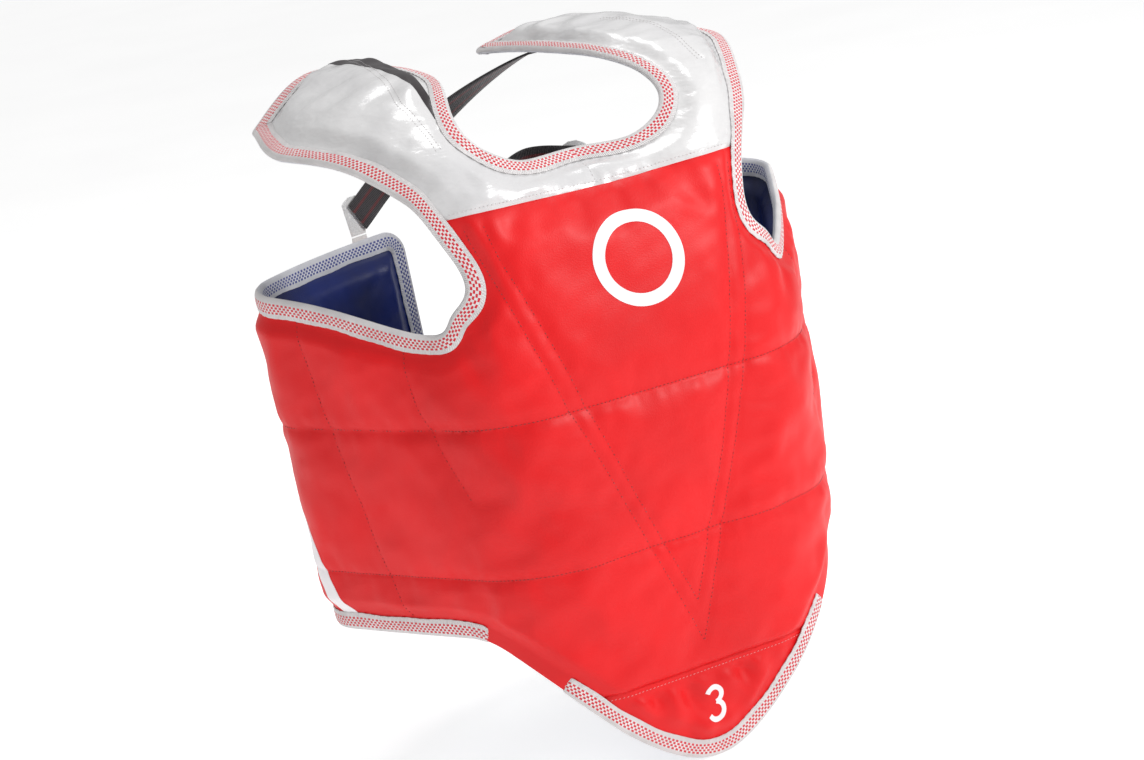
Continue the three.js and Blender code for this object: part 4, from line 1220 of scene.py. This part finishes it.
def blow_up(name, p, q):
    """Blows up one closed padded part, sewn down at its rim and along its seams.

    Gives how far each place of its cover moved outwards, in millimetres."""
    crown = smooth((rim.distance(p, q) - RIM_FLAT) / RIM_RISE)
    cover_depth = mix(RIM_SINK, CLOTH_SINK, crown)
    lining_depth = mix(PAD - RIM_LIFT, PAD - CLOTH_SINK, crown)
    scratch = slab(name, p, q, cover_depth, lining_depth, red_vinyl)
    on_seam = quilting(p, q)[2] < CLOTH_PITCH * 0.45
    on_vee = vees.distance(p, q) < CLOTH_PITCH * 0.4
    sewn = (crown < 0.05) | on_seam | on_vee
    sewn[0] = sewn[-1] = True
    sewn[:, 0] = sewn[:, -1] = True
    group = scratch.vertex_groups.new(name="sewn")
    held = np.flatnonzero(sewn.ravel())
    group.add(np.concatenate([held, held + sewn.size]).tolist(), 1.0, "REPLACE")
    cloth = scratch.modifiers.new("cloth", "CLOTH")
    settings = cloth.settings
    settings.quality = 4
    settings.mass = 0.25
    settings.tension_stiffness = settings.compression_stiffness = 12
    settings.shear_stiffness = 6
    settings.bending_stiffness = 0.4
    settings.use_pressure = True
    settings.uniform_pressure_force = 4
    settings.vertex_group_mass = "sewn"
    settings.shrink_min = -0.025
    settings.effector_weights.gravity = 0
    cloth.collision_settings.use_collision = False
    for number in range(1, CLOTH_FRAMES + 1):
        bpy.context.scene.frame_set(number)
    shaped = scratch.evaluated_get(bpy.context.evaluated_depsgraph_get()).to_mesh()
    co = np.empty(len(shaped.vertices) * 3)
    shaped.vertices.foreach_get("co", co)
    moved = co.reshape(-1, 3)[:sewn.size] / MM - pad_point(p, q, cover_depth).reshape(-1, 3)
    bpy.data.objects.remove(scratch)
    bpy.context.scene.frame_set(1)
    out = (moved * outward(p, q).reshape(-1, 3)).sum(-1).reshape(p.shape)
    return np.clip(out, LEAST_SWELL, MOST_SWELL)


def make_swell():
    """Puts the simulated parts on one even lattice over the pattern and gives a smooth reader of it."""
    parts = [("red_band", *red_band_grid())]
    for sign, side in SIDE_NAME.items():
        p, q = shoulder_grid(sign)
        parts.append((side + "_flap", p[::3, ::4], q[::3, ::4]))
    found = [(p, q, blow_up(name, p, q)) for name, p, q in parts]
    p, q, out = (np.concatenate([part[k].ravel() for part in found]) for k in range(3))
    tree = tree_of(np.stack([p, q], 1))
    columns = np.arange(-580, 584, LATTICE)   # the whole pattern lies inside
    rows = np.arange(0, 804, LATTICE)
    table = np.zeros((len(rows), len(columns)))
    for r, level in enumerate(rows):
        for c, column in enumerate(columns):
            near = tree.find_n((column, level, 0), 4)
            if near[0][2] < 2 * CLOTH_PITCH:
                weight = [1 / (distance * distance + 4) for _, _, distance in near]
                table[r, c] = sum(w * out[i] for w, (_, i, _) in zip(weight, near)) / sum(weight)
    soft = table.copy()
    soft[1:-1, 1:-1] = sum(table[1 + dr:len(rows) - 1 + dr, 1 + dc:len(columns) - 1 + dc]
                           for dr in (-1, 0, 1) for dc in (-1, 0, 1)) / 9

    def read(p, q):
        x = np.clip((p - columns[0]) / LATTICE, 0, len(columns) - 1.001)
        y = np.clip((q - rows[0]) / LATTICE, 0, len(rows) - 1.001)
        c, r = x.astype(int), y.astype(int)
        low = mix(soft[r, c], soft[r, c + 1], x - c)
        high = mix(soft[r + 1, c], soft[r + 1, c + 1], x - c)
        return mix(low, high, y - r)
    return read


swell = make_swell()
build_panels()
build_tapes()
build_stitches()
build_prints()
for sign, side in SIDE_NAME.items():
    build_tabs(sign, side)
    build_back_strap(sign, side)
build_waist()

# ------------------------------------------------------------------ floor, light and camera

FLOOR_HALF = 12      # metres, large enough to fill the picture
FLOOR_GAP = 0.0005


def pale_material():
    s = Shader("pale_floor")
    tone = s.mix(s.span(s.noise(3, 2), 0.3, 0.7), (0.86, 0.86, 0.86, 1), (0.9, 0.9, 0.9, 1))
    s.put(s.surface.inputs["Emission Color"], (1, 1, 1, 1))
    return s.finish(colour=tone, roughness=0.8, glow=0.5)


def build_floor():
    level = min(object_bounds()[0][2], cad_box[0][2]) - FLOOR_GAP
    corners = [(-1, -1), (1, -1), (1, 1), (-1, 1)]
    mesh = bpy.data.meshes.new("floor")
    mesh.from_pydata([(FLOOR_HALF * x, FLOOR_HALF * y, level) for x, y in corners], [], [(0, 1, 2, 3)])
    mesh.materials.append(pale_material())
    floor = bpy.data.objects.new("floor", mesh)
    bpy.context.scene.collection.objects.link(floor)


build_floor()
# The world lights the scene at half strength, and the camera sees it as white.
world = bpy.data.worlds.new("studio")
world.use_nodes = True
backdrop = world.node_tree.nodes["Background"]
backdrop.inputs["Color"].default_value = (1, 1, 1, 1)
seen = world.node_tree.nodes.new("ShaderNodeLightPath").outputs["Is Camera Ray"]
strength = world.node_tree.nodes.new("ShaderNodeMapRange")
strength.inputs["To Min"].default_value = 0.5
strength.inputs["To Max"].default_value = 1.0
world.node_tree.links.new(seen, strength.inputs["Value"])
world.node_tree.links.new(strength.outputs["Result"], backdrop.inputs["Strength"])
bpy.context.scene.world = world
bpy.context.scene.view_settings.view_transform = "Standard"


def area_light(name, place, target, size, power):
    light = bpy.data.lights.new(name, "AREA")
    light.shape = "DISK"
    light.size = size
    light.energy = power
    lamp = bpy.data.objects.new(name, light)
    lamp.location = place
    lamp.rotation_euler = (Vector(target) - Vector(place)).to_track_quat("-Z", "Y").to_euler()
    bpy.context.scene.collection.objects.link(lamp)


TARGET = (0, 0.1072, 0.042)
area_light("key", (1.5, -1.7, 1.6), TARGET, 0.6, 44)
area_light("fill", (-1.7, -1.0, 0.5), TARGET, 1.4, 3)
area_light("top", (0.3, 0.5, 2.0), TARGET, 0.8, 14)

CAMERA_ANGLES = (-24.56, 15.47, 10.09)   # azimuth, elevation and roll in degrees
CAMERA_DISTANCE = 2.090                  # metres from TARGET
azimuth, elevation, roll = (math.radians(angle) for angle in CAMERA_ANGLES)
back = Vector((math.sin(azimuth) * math.cos(elevation), -math.cos(azimuth) * math.cos(elevation),
               math.sin(elevation)))
right = Vector((math.cos(azimuth), math.sin(azimuth), 0))
above = back.cross(right)
camera_data = bpy.data.cameras.new("camera")
camera_data.lens = 80.3
camera_data.sensor_width = 36
camera_data.shift_x = -0.0250
camera_data.shift_y = 0.0480
camera = bpy.data.objects.new("camera", camera_data)
turned_right = right * math.cos(roll) - above * math.sin(roll)
turned_above = above * math.cos(roll) + right * math.sin(roll)
turn = Matrix((turned_right, turned_above, back)).transposed().to_4x4()
camera.matrix_world = Matrix.Translation(Vector(TARGET) + back * CAMERA_DISTANCE) @ turn
bpy.context.scene.collection.objects.link(camera)
bpy.context.scene.camera = camera
